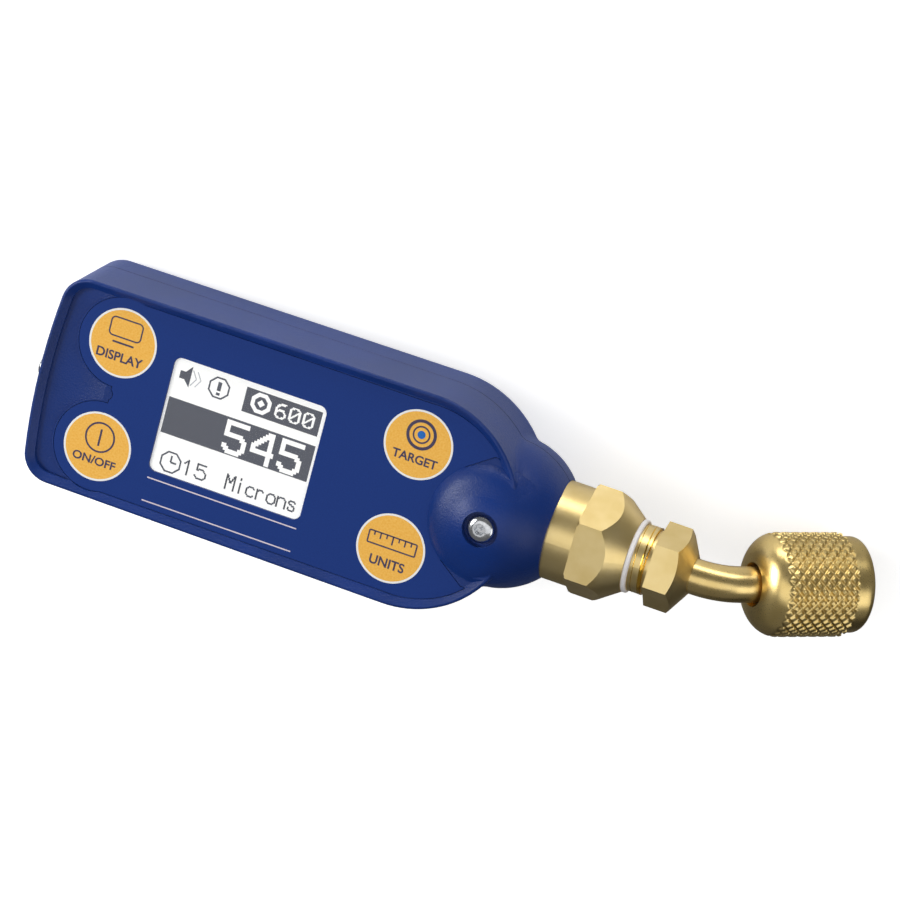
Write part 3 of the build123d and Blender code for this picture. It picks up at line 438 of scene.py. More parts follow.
# %% [markdown]
# Icons need a few shapes only: circles, polygons, straight bars, and frames with round corners.

# %% Shapes for icons


def circle(x, y, radius, count=64, turn=0.0):
    """Points on a circle, or a polygon if count is small."""
    angles = [turn + 2 * math.pi * k / count for k in range(count)]
    return [(x + radius * math.cos(a), y + radius * math.sin(a)) for a in angles]


def ring(x, y, outer, inner, count=64, turn=0.0):
    """A ring, or a polygon's frame."""
    return plate(circle(x, y, outer, count, turn), circle(x, y, inner, count, turn))


def bar(start, end, width):
    """A straight stroke between two points, with square ends."""
    (x0, y0), (x1, y1) = start, end
    length = math.hypot(x1 - x0, y1 - y0)
    across = (-(y1 - y0) / length * width / 2, (x1 - x0) / length * width / 2)
    return plate(
        [
            (x0 - across[0], y0 - across[1]),
            (x1 - across[0], y1 - across[1]),
            (x1 + across[0], y1 + across[1]),
            (x0 + across[0], y0 + across[1]),
        ]
    )


def round_box(left, bottom, right, top, radius, count=8):
    """Points of a rectangle with round corners."""
    centres = [
        (right - radius, bottom + radius, -90),
        (right - radius, top - radius, 0),
        (left + radius, top - radius, 90),
        (left + radius, bottom + radius, 180),
    ]
    points = []
    for x, y, start in centres:
        for k in range(count + 1):
            angle = math.radians(start + 90 * k / count)
            points.append((x + radius * math.cos(angle), y + radius * math.sin(angle)))
    return points


def box_frame(left, bottom, right, top, radius, width):
    """A frame of even width with round corners."""
    inner = round_box(left + width, bottom + width, right - width, top - width, radius - width)
    return plate(round_box(left, bottom, right, top, radius), inner)


print("octagon corners:", len(circle(0, 0, 1, 8)))

# %% [markdown]
# Words come from Blender's own font. Each is fitted to the box that it fills on the film: its
# letters are narrow, as on most printed keys. The strokes are made a little heavier first. Any
# extrusion will do, because the thickness of the ink is set point by point.

# %% Lettering
LETTER_WEIGHT, LETTER_EXTRUSION = 0.022, 0.5


def lettering(name, words, left, bottom, width, height, foot_m, thick_mm, material):
    """Words fitted into a box, given in millimetres on the face."""
    text = bpy.data.curves.new(name, "FONT")
    text.body = words
    text.offset = LETTER_WEIGHT
    text.extrude = LETTER_EXTRUSION
    holder = bpy.data.objects.new(name + "_text", text)
    bpy.context.scene.collection.objects.link(holder)
    bpy.context.view_layer.update()
    ready = holder.evaluated_get(bpy.context.evaluated_depsgraph_get())
    mesh = bpy.data.meshes.new_from_object(ready)
    bpy.data.objects.remove(holder)
    xs = [v.co.x for v in mesh.vertices]
    ys = [v.co.y for v in mesh.vertices]
    x_scale = width * MM / (max(xs) - min(xs))
    y_scale = height * MM / (max(ys) - min(ys))
    for v in mesh.vertices:
        v.co.x = left * MM + (v.co.x - min(xs)) * x_scale
        v.co.y = bottom * MM + (v.co.y - min(ys)) * y_scale
        v.co.z = foot_m + (thick_mm * MM if v.co.z > 0 else 0.0)
    mesh.name = name
    place_piece(name, mesh, material, "housing")


print("lettering ready, strokes heavier by", LETTER_WEIGHT, "of a letter's size")

# %% [markdown]
# The four keys are round fields of amber ink in a thin white ring. They sit where the switches
# are, so their centres come from the plungers in the frame.

# %% Key fields
INK = 0.02
WHITE_RADIUS, AMBER_RADIUS, KEY_STEPS = 6.7, 6.32, 96
film_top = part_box("keypad_film")[1].z
key_centres = {}
for number, key in enumerate(("display", "on_off", "target", "units"), start=1):
    low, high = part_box(f"switch_plunger_{number}")
    key_x, key_y = (low.x + high.x) / 2 / MM, (low.y + high.y) / 2 / MM
    key_centres[key] = (key_x, key_y)
    edge = [ring(key_x, key_y, WHITE_RADIUS, AMBER_RADIUS, KEY_STEPS)]
    add_piece(f"key_ring_{key}", edge, film_top, INK, ink_white)
    field = [plate(circle(key_x, key_y, AMBER_RADIUS, KEY_STEPS))]
    add_piece(f"key_field_{key}", field, film_top, INK, ink_amber)
print("keys at", {key: tuple(round(v, 2) for v in at) for key, at in key_centres.items()})

# %% [markdown]
# Each key carries a plain sign and the word for what it does: a screen, a power sign, a target and
# a ruler. Signs are drawn about the key's centre, in millimetres.

# %% Signs on the keys
STROKE = 0.28
ink_foot = film_top + INK * MM


def shifted(parts, key):
    """Plates drawn about 0, 0, moved to a key's centre."""
    x0, y0 = key_centres[key]
    return [([(x + x0, y + y0, z) for x, y, z in corners], faces) for corners, faces in parts]


screen_sign = [
    box_frame(left=-3.3, bottom=0.8, right=3.3, top=4.7, radius=0.95, width=STROKE),
    bar(start=(-2.1, -0.15), end=(2.2, -0.15), width=STROKE * 1.3),
]
power_sign = [
    ring(0.1, 1.85, outer=3.0, inner=2.65),
    bar(start=(0.1, 0.15), end=(0.1, 3.5), width=0.38),
]
TARGET_CENTRE = (0.1, 2.0)
target_rings = [ring(*TARGET_CENTRE, 2.95, 2.35), ring(*TARGET_CENTRE, 1.72, 1.4)]
target_eye = [plate(circle(*TARGET_CENTRE, radius=0.78))]
RULER_LEFT, RULER_RIGHT, TICKS, TICK_TOP = -4.85, 4.9, 7, 2.3
LONG_TICK, TICK, SHORT_TICK = 1.65, 1.2, 0.8
ruler_sign = [box_frame(RULER_LEFT, -0.25, RULER_RIGHT, 2.45, radius=0.35, width=STROKE)]
for k in range(TICKS):
    x = RULER_LEFT + (RULER_RIGHT - RULER_LEFT) * (k + 1) / (TICKS + 1)
    length = LONG_TICK if k == TICKS // 2 else TICK if k % 2 else SHORT_TICK
    ruler_sign.append(bar((x, TICK_TOP), (x, TICK_TOP - length), STROKE))
print("the ruler has", TICKS, "ticks")

# %% [markdown]
# A word stands under each sign. Its width, its height and its lower edge are fitted to the
# photograph. The middle of the target is a dot of lighter blue, so it is a piece of its own.

# %% Signs and words in place
signs = (  # key, sign, word, and the word's width, height and lower edge
    ("display", screen_sign, "DISPLAY", 9.3, 1.85, -3.75),
    ("on_off", power_sign, "ON/OFF", 8.7, 1.65, -3.6),
    ("target", target_rings, "TARGET", 8.9, 1.75, -3.65),
    ("units", ruler_sign, "UNITS", 6.9, 1.9, -3.95),
)
for key, sign, word, width, height, lower in signs:
    x0, y0 = key_centres[key]
    add_piece(f"key_sign_{key}", shifted(sign, key), ink_foot, INK, ink_slate)
    word_box = (x0 - width / 2, y0 + lower, width, height)
    lettering(f"key_word_{key}", word, *word_box, ink_foot, INK, ink_slate)
add_piece("key_sign_target_eye", shifted(target_eye, "target"), ink_foot, INK, ink_sky)
print("signs on", len(signs), "keys")

# %% [markdown]
# Two thin pale rules run under the display, as long as it is wide.

# %% Rules under the display
RULE_HEIGHTS, RULE_WIDTH, RULE_INSET = (-12.9, -17.5), 0.24, 0.3
panel_low, panel_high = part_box("display_panel")
left, right = panel_low.x / MM, panel_high.x / MM
rules = [bar((left + RULE_INSET, y), (right, y), RULE_WIDTH) for y in RULE_HEIGHTS]
add_piece("film_rules", rules, film_top, INK, ink_rule)
print("rules from", round(left, 2), "to", round(right, 2))

# %% [markdown]
# The display is a dot matrix of 128 by 96 dots, half a millimetre in from the panel's ends. Its
# digits are drawn dot by dot: a glyph is a few rows of text, and every unbroken run of dots becomes
# one thin plate.

# %% Dots of the display
DOTS, SCREEN_MARGIN = (128, 96), 0.5
dot = (right - left - 2 * SCREEN_MARGIN) / DOTS[0]
screen_left = (left + right) / 2 - dot * DOTS[0] / 2
screen_top = dot * DOTS[1] / 2
screen_foot = panel_high.z
SEGMENT = 0.02


def dot_box(column, row, columns, rows):
    """A plate over a block of dots, counted from the display's upper left."""
    x0 = screen_left + column * dot
    y0 = screen_top - row * dot
    x1, y1 = x0 + columns * dot, y0 - rows * dot
    return plate([(x0, y1), (x1, y1), (x1, y0), (x0, y0)])


def glyph(rows, column, row, scale=1, grow=0.0):
    """Plates for a glyph drawn in rows of # and dots; grow thickens every stroke, in dots."""
    parts = []
    for k, line in enumerate(rows):
        start = None
        for c, mark in enumerate(line + "."):
            if mark == "#" and start is None:
                start = c
            elif mark != "#" and start is not None:
                at = (column + start * scale - grow, row + k * scale - grow)
                parts.append(dot_box(*at, (c - start) * scale + 2 * grow, scale + 2 * grow))
                start = None
    return parts


print("one dot is", round(dot, 3), "mm")

# %% [markdown]
# The middle figures stand on the display as they are drawn here, and the large ones at twice that
# size. Both have strokes two dots wide.

# %% Large and middle figures
LARGE = {
    "5": """##########
##########
##........
##........
##........
########..
#########.
.......###
........##
........##
##......##
###....###
.########.
..######..""",
    "4": """......###.
.....####.
....#####.
...###.##.
..###..##.
.###...##.
###....##.
##.....##.
##########
##########
.......##.
.......##.
.......##.
.......##.""",
}
MIDDLE = {
    "6": """....#####.
..######..
.###......
.##.......
##........
##.#####..
########..
###....##.
##......##
##......##
##......##
.###..###.
..######..""",
    "0": """..######..
.###..###.
##......##
##.....###
##....####
##...##.##
##..##..##
##.##...##
####....##
###.....##
##......##
.###..###.
..######..""",
}
print("figures:", len(LARGE) + len(MIDDLE))

# %% [markdown]
# The lowest line has a number and a word, in strokes one dot wide. Small letters without a stem
# leave their upper rows empty.

# %% Small figures and letters
SMALL = {
    "1": """....#.....
...##.....
..#.#.....
.#..#.....
....#.....
....#.....
....#.....
....#.....
....#.....
....#.....
....#.....
....#.....
....#.....""",
    "5": """.########.
.#........
.#........
.#........
.#.####...
.##....#..
........#.
.........#
.........#
.........#
#........#
.#......#.
..######..""",
    "M": """#......#
##....##
##....##
#.#..#.#
#.#..#.#
#..##..#
#..##..#
#......#
#......#
#......#
#......#
#......#
#......#""",
    "i": """...#....
...#....
........
........
...#....
...#....
...#....
...#....
...#....
...#....
...#....
...#....
...#....""",
    "c": """........
........
........
........
..####..
.#....#.
#.......
#.......
#.......
#.......
#.......
.#....#.
..####..""",
    "r": """........
........
........
........
#.###...
##...#..
#.......
#.......
#.......
#.......
#.......
#.......
#.......""",
    "o": """........
........
........
........
..####..
.#....#.
#......#
#......#
#......#
#......#
#......#
.#....#.
..####..""",
    "n": """........
........
........
........
#.####..
##....#.
#......#
#......#
#......#
#......#
#......#
#......#
#......#""",
    "s": """........
........
........
........
..####..
.#....#.
.#......
..##....
....##..
......#.
.#....#.
.#....#.
..####..""",
}


def dot_word(word, font, column, row, pitch, scale=1, grow=0.0):
    """Plates for a word, its letters pitch dots apart."""
    parts = []
    for k, letter in enumerate(word):
        parts += glyph(font[letter].splitlines(), column + k * pitch, row, scale, grow)
    return parts


print("small glyphs:", len(SMALL))

# %% [markdown]
# The picture has a dark box and a dark band with pale figures on them, and dark figures and signs
# on the pale ground: a speaker, a warning sign, a clock. Places on it are columns and rows of
# dots, and sizes of signs are millimetres.

# %% Picture on the display
SIGN_RADII, AIM_RADII = (2.25, 1.9), (2.15, 1.35)
HAND_WIDTH, UP_HAND, RIGHT_HAND = 0.36, 1.3, 1.15
SPEAKER = ((4, 15.5), (8.5, 15.5), (13.5, 21), (13.5, 3), (8.5, 9), (4, 9))
THIN_GROWTH = 0.22


def screen_point(column, row):
    """A point of the display, in millimetres on the face."""
    return screen_left + column * dot, screen_top - row * dot


def octagon(centre, radii):
    """The frame of an eight-sided sign that has a flat side on top."""
    return ring(*centre, *radii, 8, math.radians(22.5))


warn = screen_point(38.5, 13)
clock = screen_point(14.5, 86)
aim = screen_point(75.5, 14)
dark = [
    dot_box(61, 4, 66, 21),
    dot_box(0, 33, 128, 31),
    octagon(warn, SIGN_RADII),
    dot_box(37.0, 8, 3.2, 7.5),
    dot_box(37.0, 17, 3.2, 2.2),
    octagon(clock, SIGN_RADII),
    bar(clock, (clock[0], clock[1] + UP_HAND), HAND_WIDTH),
    bar(clock, (clock[0] + RIGHT_HAND, clock[1]), HAND_WIDTH),
    plate([screen_point(*point) for point in SPEAKER]),
]
dark += dot_word("15", SMALL, column=25, row=79, pitch=11, grow=THIN_GROWTH)
dark += dot_word("Microns", SMALL, column=63, row=79, pitch=9, grow=THIN_GROWTH)
add_piece("display_dark", dark, screen_foot, SEGMENT, screen_dark)

pale_foot = screen_foot + SEGMENT * MM
pale = [octagon(aim, AIM_RADII), plate(circle(*aim, radius=0.75, count=4))]
pale += dot_word("600", MIDDLE, column=88, row=8, pitch=12)
pale += dot_word("545", LARGE, column=52, row=35, pitch=24, scale=2)
add_piece("display_pale", pale, pale_foot, SEGMENT, screen_pale)
print("display plates:", len(dark) + len(pale))

# %% [markdown]
# Two pairs of thin grey strokes leave the speaker, each pair meeting in a tip: sound waves.

# %% Sound waves of the speaker
WAVE_TIPS, WAVE_ROW, WAVE_REACH, WAVE_WIDTH = (18.5, 22.5), 12.5, (4, 6.5), 0.2
waves = []
for tip in WAVE_TIPS:
    for side in (-1, 1):
        outer_end = screen_point(tip - WAVE_REACH[0], WAVE_ROW + WAVE_REACH[1] * side)
        waves.append(bar(outer_end, screen_point(tip, WAVE_ROW), WAVE_WIDTH))
add_piece("display_grey", waves, screen_foot, SEGMENT, screen_grey)
print("wave strokes:", len(waves))

# %% [markdown]
# Turned pieces are lathe grids: a profile of radius and height, swept round an axis. A function
# of angle, height and radius may change the radius, and so cut a knurl or a thread as a real tool
# would.

# %% Lathe grids


def lathe(name, profile, columns, axis_point, direction, cut=None):
    """A mesh swept round an axis; profile lists (radius, height) in millimetres."""
    turn = direction.to_track_quat("Z", "Y").to_matrix().to_4x4()
    corners, faces = [], []
    for radius, height in profile:
        for k in range(columns):
            angle = 2 * math.pi * k / columns
            r = cut(angle, height, radius) if cut else radius
            corners.append((r * math.cos(angle) * MM, r * math.sin(angle) * MM, height * MM))
    for row in range(len(profile) - 1):
        for k in range(columns):
            after = (k + 1) % columns
            low, high = row * columns, (row + 1) * columns
            faces.append((low + k, low + after, high + after, high + k))
    mesh = bpy.data.meshes.new(name)
    mesh.from_pydata(corners, [], faces)
    mesh.polygons.foreach_set("use_smooth", [True] * len(faces))
    mesh.transform(Matrix.Translation(axis_point) @ turn)
    mesh.update()
    return mesh


def between(start, end, steps):
    """Evenly spaced profile points from start to end, without the start."""
    return [
        tuple(a + (b - a) * k / steps for a, b in zip(start, end)) for k in range(1, steps + 1)
    ]


print("lathe ready")

# %% [markdown]
# The swivel nut's outside is a domed back, a band of diamond knurl and a plain rim. The knurl is
# two families of grooves that wind round the band in opposite directions. They leave small
# pyramids with flat tops, and a small dent in each. There are 27 of them round the nut, 2.07 mm
# apart along it, and the grooves are about half a millimetre deep. They run out into the dome, so
# the surface there is the lower of the two.

# %% Diamond knurl
NUT_RADIUS, DOME_END, KNURL_END = 9.75, 7.5, 20.0
KNURL_AROUND, KNURL_PITCH, KNURL_DEPTH = 27, 2.07, 0.48
FLOOR_SHARE, SLOPE_SHARE = 0.1, 0.15
DENT_SHARE, DENT_DEPTH = 0.12, 0.09


def groove(phase):
    """Height from 0 at a groove's floor to 1 on the flat between grooves."""
    away = min(phase % 1.0, 1.0 - phase % 1.0)
    return min(max((away - FLOOR_SHARE) / SLOPE_SHARE, 0.0), 1.0)


def knurl(angle, height, radius):
    """The radius where the knurl has been rolled in."""
    if height >= KNURL_END or height < DOME_END - KNURL_PITCH:
        return radius
    around = angle * KNURL_AROUND / (2 * math.pi)
    along = (height - DOME_END) / KNURL_PITCH
    one, other = around + along, around - along
    rise = min(groove(one), groove(other))
    off_centre = math.hypot(one % 1.0 - 0.5, other % 1.0 - 0.5)
    dent = DENT_DEPTH * max(0.0, 1.0 - off_centre / DENT_SHARE)
    return min(radius, NUT_RADIUS - KNURL_DEPTH * (1.0 - rise) - dent)


print("pyramids round the nut:", KNURL_AROUND)

# %% [markdown]
# The nut's profile starts in the hole round the tube. It goes over the dome, along the knurl, down
# a sharp step to the rim, and round the mouth. It is swept about the axis of the nut's own joint,
# and its heights count from the end of the tube's bend.

# %% Outside of the swivel nut
NUT_BACK, NUT_MOUTH, RIM_RADIUS, MOUTH_ROUND = 2.47, 24.0, 9.0, 1.4
HOLE_RADIUS, HOLE_DEPTH, LAND_RADIUS = 4.15, 2.6, 3.48
THREAD_RADIUS, THREAD_CHAMFER = 4.95, 0.7
PLAIN_ROWS, DOME_ROWS, KNURL_ROWS, MOUTH_ROWS, COLUMNS_PER_PYRAMID = 4, 40, 104, 8, 16
STEP, NUT_CREASE = 0.001, math.radians(50)
JOINT_FROM_BEND = 12.0
spin = next(joint for joint in frame["joints"] if joint["name"] == "nut_spin")
nut_axis = Vector(spin["axis"]).normalized()
nut_origin = Vector(spin["pos_m"]) - nut_axis * JOINT_FROM_BEND * MM

dome_rise, dome_run = NUT_RADIUS - HOLE_RADIUS, DOME_END - NUT_BACK
profile = [(LAND_RADIUS, NUT_BACK + HOLE_DEPTH)]
profile += between(profile[-1], (HOLE_RADIUS, NUT_BACK), PLAIN_ROWS)
for k in range(1, DOME_ROWS + 1):
    angle = math.pi / 2 * k / DOME_ROWS
    out, back = dome_rise * math.sin(angle), dome_run * math.cos(angle)
    profile.append((HOLE_RADIUS + out, DOME_END - back))
profile += between(profile[-1], (NUT_RADIUS, KNURL_END - STEP), KNURL_ROWS)
profile.append((RIM_RADIUS, KNURL_END))
profile += between(profile[-1], (RIM_RADIUS, NUT_MOUTH - MOUTH_ROUND), PLAIN_ROWS)
for k in range(1, MOUTH_ROWS + 1):
    angle = math.pi / 2 * k / MOUTH_ROWS
    inward, back = MOUTH_ROUND * (1 - math.cos(angle)), MOUTH_ROUND * (1 - math.sin(angle))
    profile.append((RIM_RADIUS - inward, NUT_MOUTH - back))
profile += between(profile[-1], (THREAD_RADIUS + THREAD_CHAMFER, NUT_MOUTH), steps=2)
columns = KNURL_AROUND * COLUMNS_PER_PYRAMID
nut_mesh = lathe("knurled_nut", profile, columns, nut_origin, nut_axis, knurl)
nut_mesh.set_sharp_from_angle(angle=NUT_CREASE)
knurled_nut = place_piece("knurled_nut", nut_mesh, brass_knurled, "flare_nut")
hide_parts("flare_nut")
print("knurled nut faces:", len(nut_mesh.polygons))

# %% [markdown]
# The nut's bore has a standard 7/16-20 thread, 1.27 mm from turn to turn, and a wider relief
# behind it. The thread is a helix: at every angle the groove lies a little further along.

# %% Threaded bore of the nut
SHOULDER, RELIEF_RADIUS, RELIEF_END = 8.5, 5.4, 14.0
THREAD_PITCH, THREAD_DEPTH = 1.27, 0.6
BORE_ROWS, BORE_COLUMNS, BORE_CREASE = 80, 96, math.radians(40)


def helix(pitch, depth, start, end):
    """A V-shaped thread between two heights; it lowers a shaft where the depth is negative."""

    def cut(angle, height, radius):
        """The radius with the thread cut into it, fading in and out over one turn."""
        phase = (height / pitch - angle / (2 * math.pi)) % 1.0
        fade = min(max((height - start) / pitch, 0.0), max((end - height) / pitch, 0.0), 1.0)
        return radius + depth * fade * (1.0 - abs(2.0 * phase - 1.0))

    return cut


bore = [(LAND_RADIUS, NUT_BACK + HOLE_DEPTH), (LAND_RADIUS, SHOULDER), (RELIEF_RADIUS, SHOULDER)]
bore += [(RELIEF_RADIUS, RELIEF_END), (THREAD_RADIUS, RELIEF_END)]
bore += between(bore[-1], (THREAD_RADIUS, NUT_MOUTH - THREAD_CHAMFER), BORE_ROWS)
bore += [(THREAD_RADIUS + THREAD_CHAMFER, NUT_MOUTH)]
bore.reverse()
port_cut = helix(THREAD_PITCH, THREAD_DEPTH, RELIEF_END, NUT_MOUTH - THREAD_CHAMFER)
bore_mesh = lathe("nut_bore", bore, BORE_COLUMNS, nut_origin, nut_axis, port_cut)
bore_mesh.set_sharp_from_angle(angle=BORE_CREASE)
nut_bore = place_piece("nut_bore", bore_mesh, brass_knurled, "flare_nut")
print("bore faces:", len(bore_mesh.polygons))

# %% [markdown]
# The elbow's shank is a pipe thread that shows for a few millimetres between the white ring and
# the small hexagon. It is glossier and more golden than the rest. Its crests stand a little over
# the solid, and its ends are tucked in, so that no edge hangs free. The thread starts inside the
# ring, and so it has its full depth where it comes out.

# %% Thread on the shank
SHANK_RADIUS, SHANK_END, SHANK_PITCH, SHANK_DEPTH = 6.5, 75.7, 1.41, 0.5
CREST_LIFT, TUCK, END_GAP, RUN_IN = 0.05, 0.3, 0.02, 2.0
SHANK_ROWS, SHANK_COLUMNS = 44, 128
ring_low, ring_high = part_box("seal_ring")
ring_end = ring_high.x / MM
crest = SHANK_RADIUS + CREST_LIFT
shank = [(SHANK_RADIUS - TUCK, ring_end - TUCK)]
shank += between((crest, ring_end - TUCK), (crest, SHANK_END), SHANK_ROWS)
shank += [(SHANK_RADIUS - TUCK, SHANK_END + END_GAP)]
shank_cut = helix(SHANK_PITCH, -SHANK_DEPTH, ring_end - RUN_IN, SHANK_END)
along_x = Vector((1, 0, 0))
shank_origin = Vector((0, 0, (ring_low.z + ring_high.z) / 2))
shank_mesh = lathe("shank_thread", shank, SHANK_COLUMNS, shank_origin, along_x, shank_cut)
shank_thread = place_piece("shank_thread", shank_mesh, brass_bright, "housing")
print("shank thread from", round(ring_end, 2), "to", SHANK_END, "mm")

# %% [markdown]
# On the real housing the ball grows out of the film's edge in one smooth swell. The solids have a
# small collar there, so this piece lies over it: a curved band from the film's edge up the ball,
# which sinks into the housing towards the brass.

# %% Curve of the ball's shoulder
BALL_HALF_WIDTH, BALL_HALF_HEIGHT = 14.4, 16.0
SHOULDER_IN, FOOT_SLOPE, TOP_SLOPE = 5.73, 1.2, 0.48
screw_low, screw_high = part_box("ball_screw")
ball_x = (screw_low.x + screw_high.x) / 2 / MM


def ball_height(radius):
    """Height of the ball's surface over the back, at this distance from the ball's screw."""
    return seam_height / MM + BALL_HALF_HEIGHT * math.sqrt(1 - (radius / BALL_HALF_WIDTH) ** 2)


def shoulder_height(share, run):
    """Height along a smooth curve from the film's edge, at share 0, to the ball, at share 1."""
    foot, top = film_top / MM, ball_height(SHOULDER_IN)
    return (
        foot * (1 - 3 * share**2 + 2 * share**3)
        + FOOT_SLOPE * run * (share - 2 * share**2 + share**3)
        + top * (3 * share**2 - 2 * share**3)
        + TOP_SLOPE * run * (share**3 - share**2)
    )


print("shoulder from", round(film_top / MM, 2), "to", round(ball_height(SHOULDER_IN), 2), "mm")

# %% [markdown]
# The band runs round the ball in rows from the film's edge inwards. Beside the film it follows the
# curve. Towards the brass it fades into the ball's own surface and sinks just under it, and its
# inner row sinks too, so that no edge shows.

# %% Shoulder of the ball
SHOULDER_OUT, SHOULDER_SHIFT, BURIED = 11.5, 0.3, 0.03
FULL_TO, FADED_AT = math.radians(80), math.radians(130)
ROWS, COLUMNS = 24, 120
corners, faces = [], []
for row in range(ROWS + 1):
    share = row / ROWS
    for column in range(COLUMNS + 1):
        angle = math.pi + FADED_AT * (2 * column / COLUMNS - 1)
        faded = min(max((abs(angle - math.pi) - FULL_TO) / (FADED_AT - FULL_TO), 0.0), 1.0)
        weight = 1 - faded**2 * (3 - 2 * faded)
        outer = SHOULDER_OUT + SHOULDER_SHIFT * math.cos(angle)
        radius = outer + (SHOULDER_IN - outer) * share
        own = ball_height(radius)
        height = own + weight * (shoulder_height(share, outer - SHOULDER_IN) - own)
        height -= BURIED * max(1 - weight, share**6)
        corners.append(
            ((ball_x + radius * math.cos(angle)) * MM, radius * math.sin(angle) * MM, height * MM)
        )
        if row and column:
            here = row * (COLUMNS + 1) + column
            faces.append((here - COLUMNS - 2, here - COLUMNS - 1, here, here - 1))
shoulder_mesh = bpy.data.meshes.new("ball_shoulder")
shoulder_mesh.from_pydata(corners, [], faces)
shoulder_mesh.polygons.foreach_set("use_smooth", [True] * len(faces))
shoulder_mesh.update()
place_piece("ball_shoulder", shoulder_mesh, housing_abs, "housing")
print("shoulder faces:", len(faces))

# %% [markdown]
# The gauge lies as it comes to rest: on the back edge of its left end and on the nut. The floor is
# a large pale plane under those two places, a fifth of a millimetre lower, so that it cuts nothing.

# %% Floor
REST_INSET, FLOOR_GAP, FLOOR_HALF = 3.5 * MM, 0.2 * MM, 3.0
nut_low = min((v.co for v in nut_mesh.vertices), key=lambda p: p.z)
left_foot = Vector((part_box("back_shell")[0].x + REST_INSET, 0, 0))
slope = math.atan2(nut_low.z - left_foot.z, nut_low.x - left_foot.x)
floor_mesh = bpy.data.meshes.new("floor")
floor_mesh.from_pydata(
    [(x * FLOOR_HALF, y * FLOOR_HALF, 0) for x, y in ((-1, -1), (1, -1), (1, 1), (-1, 1))],
    [],
    [(0, 1, 2, 3)],
)
floor = bpy.data.objects.new("floor", floor_mesh)
bpy.context.scene.collection.objects.link(floor)
sunk = Matrix.Translation(left_foot - Vector((0, 0, FLOOR_GAP)))
floor.matrix_world = sunk @ Matrix.Rotation(-slope, 4, "Y")
print("the floor leans by", round(math.degrees(slope), 2), "degrees")

# %% [markdown]
# The floor looks white to the camera, and it still takes the gauge's shadow. To light that falls
# on the gauge it carries painted shade: it is white on the far side only, and darker on the near
# side and beyond the nut, so that the lower faces mirror a dark floor and keep their depth. Each
# painted shade has a soft edge. Its numbers are the places where the edge starts and ends, in
# millimetres, and how white the floor is at each.

# %% Pale floor with painted shade
# Painted shade for light: axis, where its soft edge starts and ends in mm, and the floor's white
# there
PAINTED_SHADE_EDGES = {"Y": (-25, 15, 0.12, 0.9), "X": (125, 165, 1.0, 0.3)}
FLOOR_GLOW = 0.62
floor_material, tree, place = start_material("studio_floor_pale_with_painted_shade")
ways = add_node(tree, "ShaderNodeSeparateXYZ", {"Vector": place}).outputs
shades = []
for axis, (start, end, first, last) in PAINTED_SHADE_EDGES.items():
    soft_edge = {"From Min": start * MM, "From Max": end * MM, "To Min": first, "To Max": last}
    soft_edge["Value"] = ways[axis]
    shades.append(add_node(tree, "ShaderNodeMapRange", soft_edge).outputs[0])
shade = add_node(tree, "ShaderNodeMath", dict(enumerate(shades)), operation="MULTIPLY")
# Painted shade: the floor as light sees it, darker on the near side and beyond the nut
painted_shade = add_node(tree, "ShaderNodeBsdfDiffuse", {"Color": shade.outputs[0]})
diffuse = add_node(tree, "ShaderNodeBsdfDiffuse", {"Color": colour("eaeaea")})
glow = add_node(tree, "ShaderNodeEmission", {"Color": colour("ffffff"), "Strength": FLOOR_GLOW})
bright = add_node(tree, "ShaderNodeAddShader", {0: diffuse.outputs[0], 1: glow.outputs[0]})
from_camera = add_node(tree, "ShaderNodeLightPath").outputs["Is Camera Ray"]
painted_shade_or_bright = {0: from_camera, 1: painted_shade.outputs[0], 2: bright.outputs[0]}
finish_material(tree, add_node(tree, "ShaderNodeMixShader", painted_shade_or_bright))
floor_mesh.materials.append(floor_material)
print("floor cards along", list(PAINTED_SHADE_EDGES))

# %% [markdown]
# The world is white where the camera sees it, and dim to all other light. Brass mirrors what is
# round it, so a dim world leaves the dark bands in it that the lamps don't fill.

# %% White world
WORLD_DIM, WORLD_WHITE = 0.16, 1.0
world = bpy.data.worlds.new("studio")
world.use_nodes = True
bpy.context.scene.world = world
tree = world.node_tree
tree.nodes.clear()
from_camera = add_node(tree, "ShaderNodeLightPath").outputs["Is Camera Ray"]
dim_or_white = {"Value": from_camera, "To Min": WORLD_DIM, "To Max": WORLD_WHITE}
level = add_node(tree, "ShaderNodeMapRange", dim_or_white).outputs[0]
sky = add_node(tree, "ShaderNodeBackground", {"Color": colour("ffffff"), "Strength": level})
add_node(tree, "ShaderNodeOutputWorld", {"Surface": sky.outputs[0]})
print("world at", WORLD_WHITE, "for the camera and", WORLD_DIM, "for light")

# %% [markdown]
# The camera stands where the photographer's did, far back with a long lens. Its place was worked
# out from the four round keys and the display's corners.

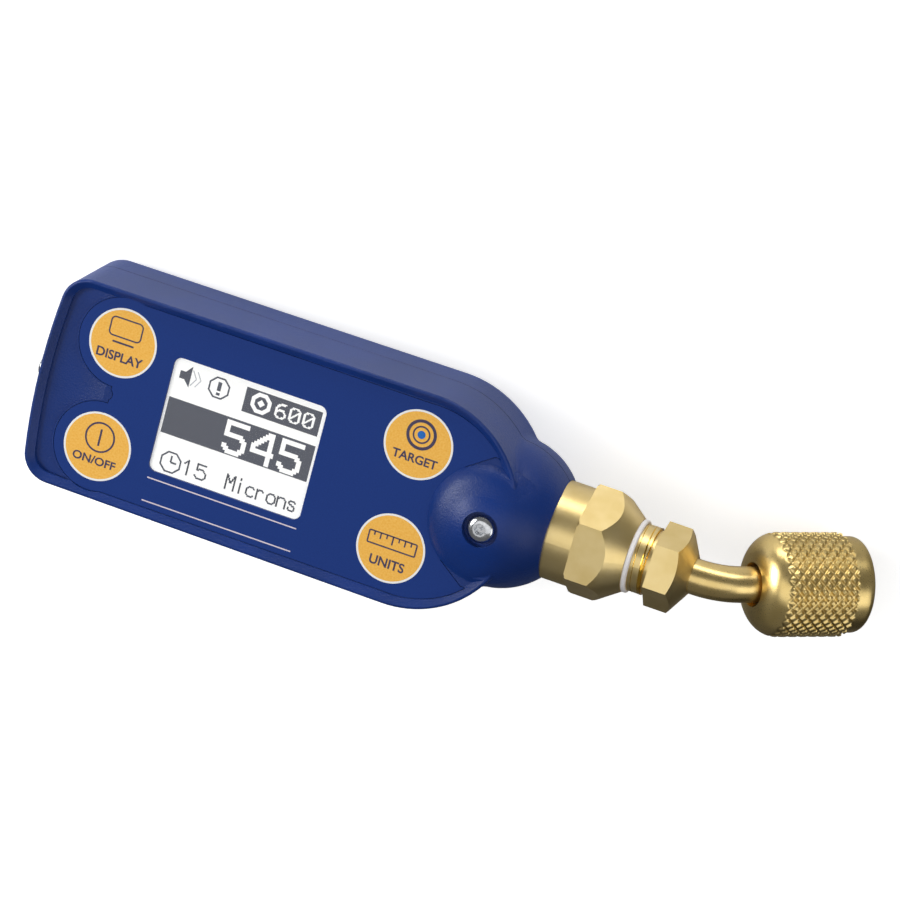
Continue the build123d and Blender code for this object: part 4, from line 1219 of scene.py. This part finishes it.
# %% Camera
CAMERA_AT = Vector((247.95, 313.31, 962.22)) * MM
CAMERA_RIGHT = Vector((0.9247, 0.2488, -0.2882))
CAMERA_UP = Vector((-0.3177, 0.9214, -0.2239))
CAMERA_BACK = CAMERA_RIGHT.cross(CAMERA_UP).normalized()
camera_data = bpy.data.cameras.new("camera")
camera_data.sensor_width = 36.0
camera_data.lens = 220.0
camera_data.clip_start, camera_data.clip_end = 0.05, 20.0
camera = bpy.data.objects.new("camera", camera_data)
bpy.context.scene.collection.objects.link(camera)
axes = Matrix((CAMERA_RIGHT, CAMERA_UP, CAMERA_BACK)).transposed().to_4x4()
camera.matrix_world = Matrix.Translation(CAMERA_AT) @ axes
bpy.context.scene.camera = camera
print("camera at", [round(v, 3) for v in CAMERA_AT])

# %% [markdown]
# Four soft boxes light the gauge. A small key from the left end makes the glint on the ball and on
# the nut's dome. A wide one hangs overhead, and brass flats that face up mirror it. A low strip
# along the far side brightens the side walls, and a weak one at the nut's end fills in. Between
# them it stays dark, and that gives turned brass its dark bands. A lamp's power is worked out from
# how bright a white card would be, so a lamp can be moved back without a darker picture.

# %% Soft boxes
LIT_POINT = Vector((0.03, 0.0, 0.01))


def soft_box(name, direction, distance, size, level):
    """A lamp in a direction on the gauge's axes, its width along the gauge."""
    toward = Vector(direction).normalized()
    across = toward.cross(Vector((1, 0, 0))).normalized()
    lamp = bpy.data.lights.new(name, "AREA")
    lamp.shape = "RECTANGLE"
    lamp.size, lamp.size_y = size
    lamp.energy = level * math.pi**2 * distance**2
    holder = bpy.data.objects.new(name, lamp)
    bpy.context.scene.collection.objects.link(holder)
    axes = Matrix([across.cross(toward), across, toward]).transposed().to_4x4()
    holder.matrix_world = Matrix.Translation(LIT_POINT + toward * distance) @ axes


# Name, direction, distance in m, width and height in m, and level on a white card
soft_box("key_light", (-0.79, 0.1, 0.6), 0.9, (0.4, 0.45), 0.62)
soft_box("overhead_light", (0.2, 0.0, 0.97), 1.7, (2.5, 1.25), 0.34)
soft_box("side_strip", (-0.1, 0.97, 0.17), 1.1, (1.6, 0.34), 0.58)
soft_box("end_light", (0.85, -0.15, 0.42), 1.3, (0.5, 0.8), 0.12)
print("four soft boxes")

# %% [markdown]
# The standard view transform shows colours as they are written.

# %% View
bpy.context.scene.view_settings.view_transform = "Standard"
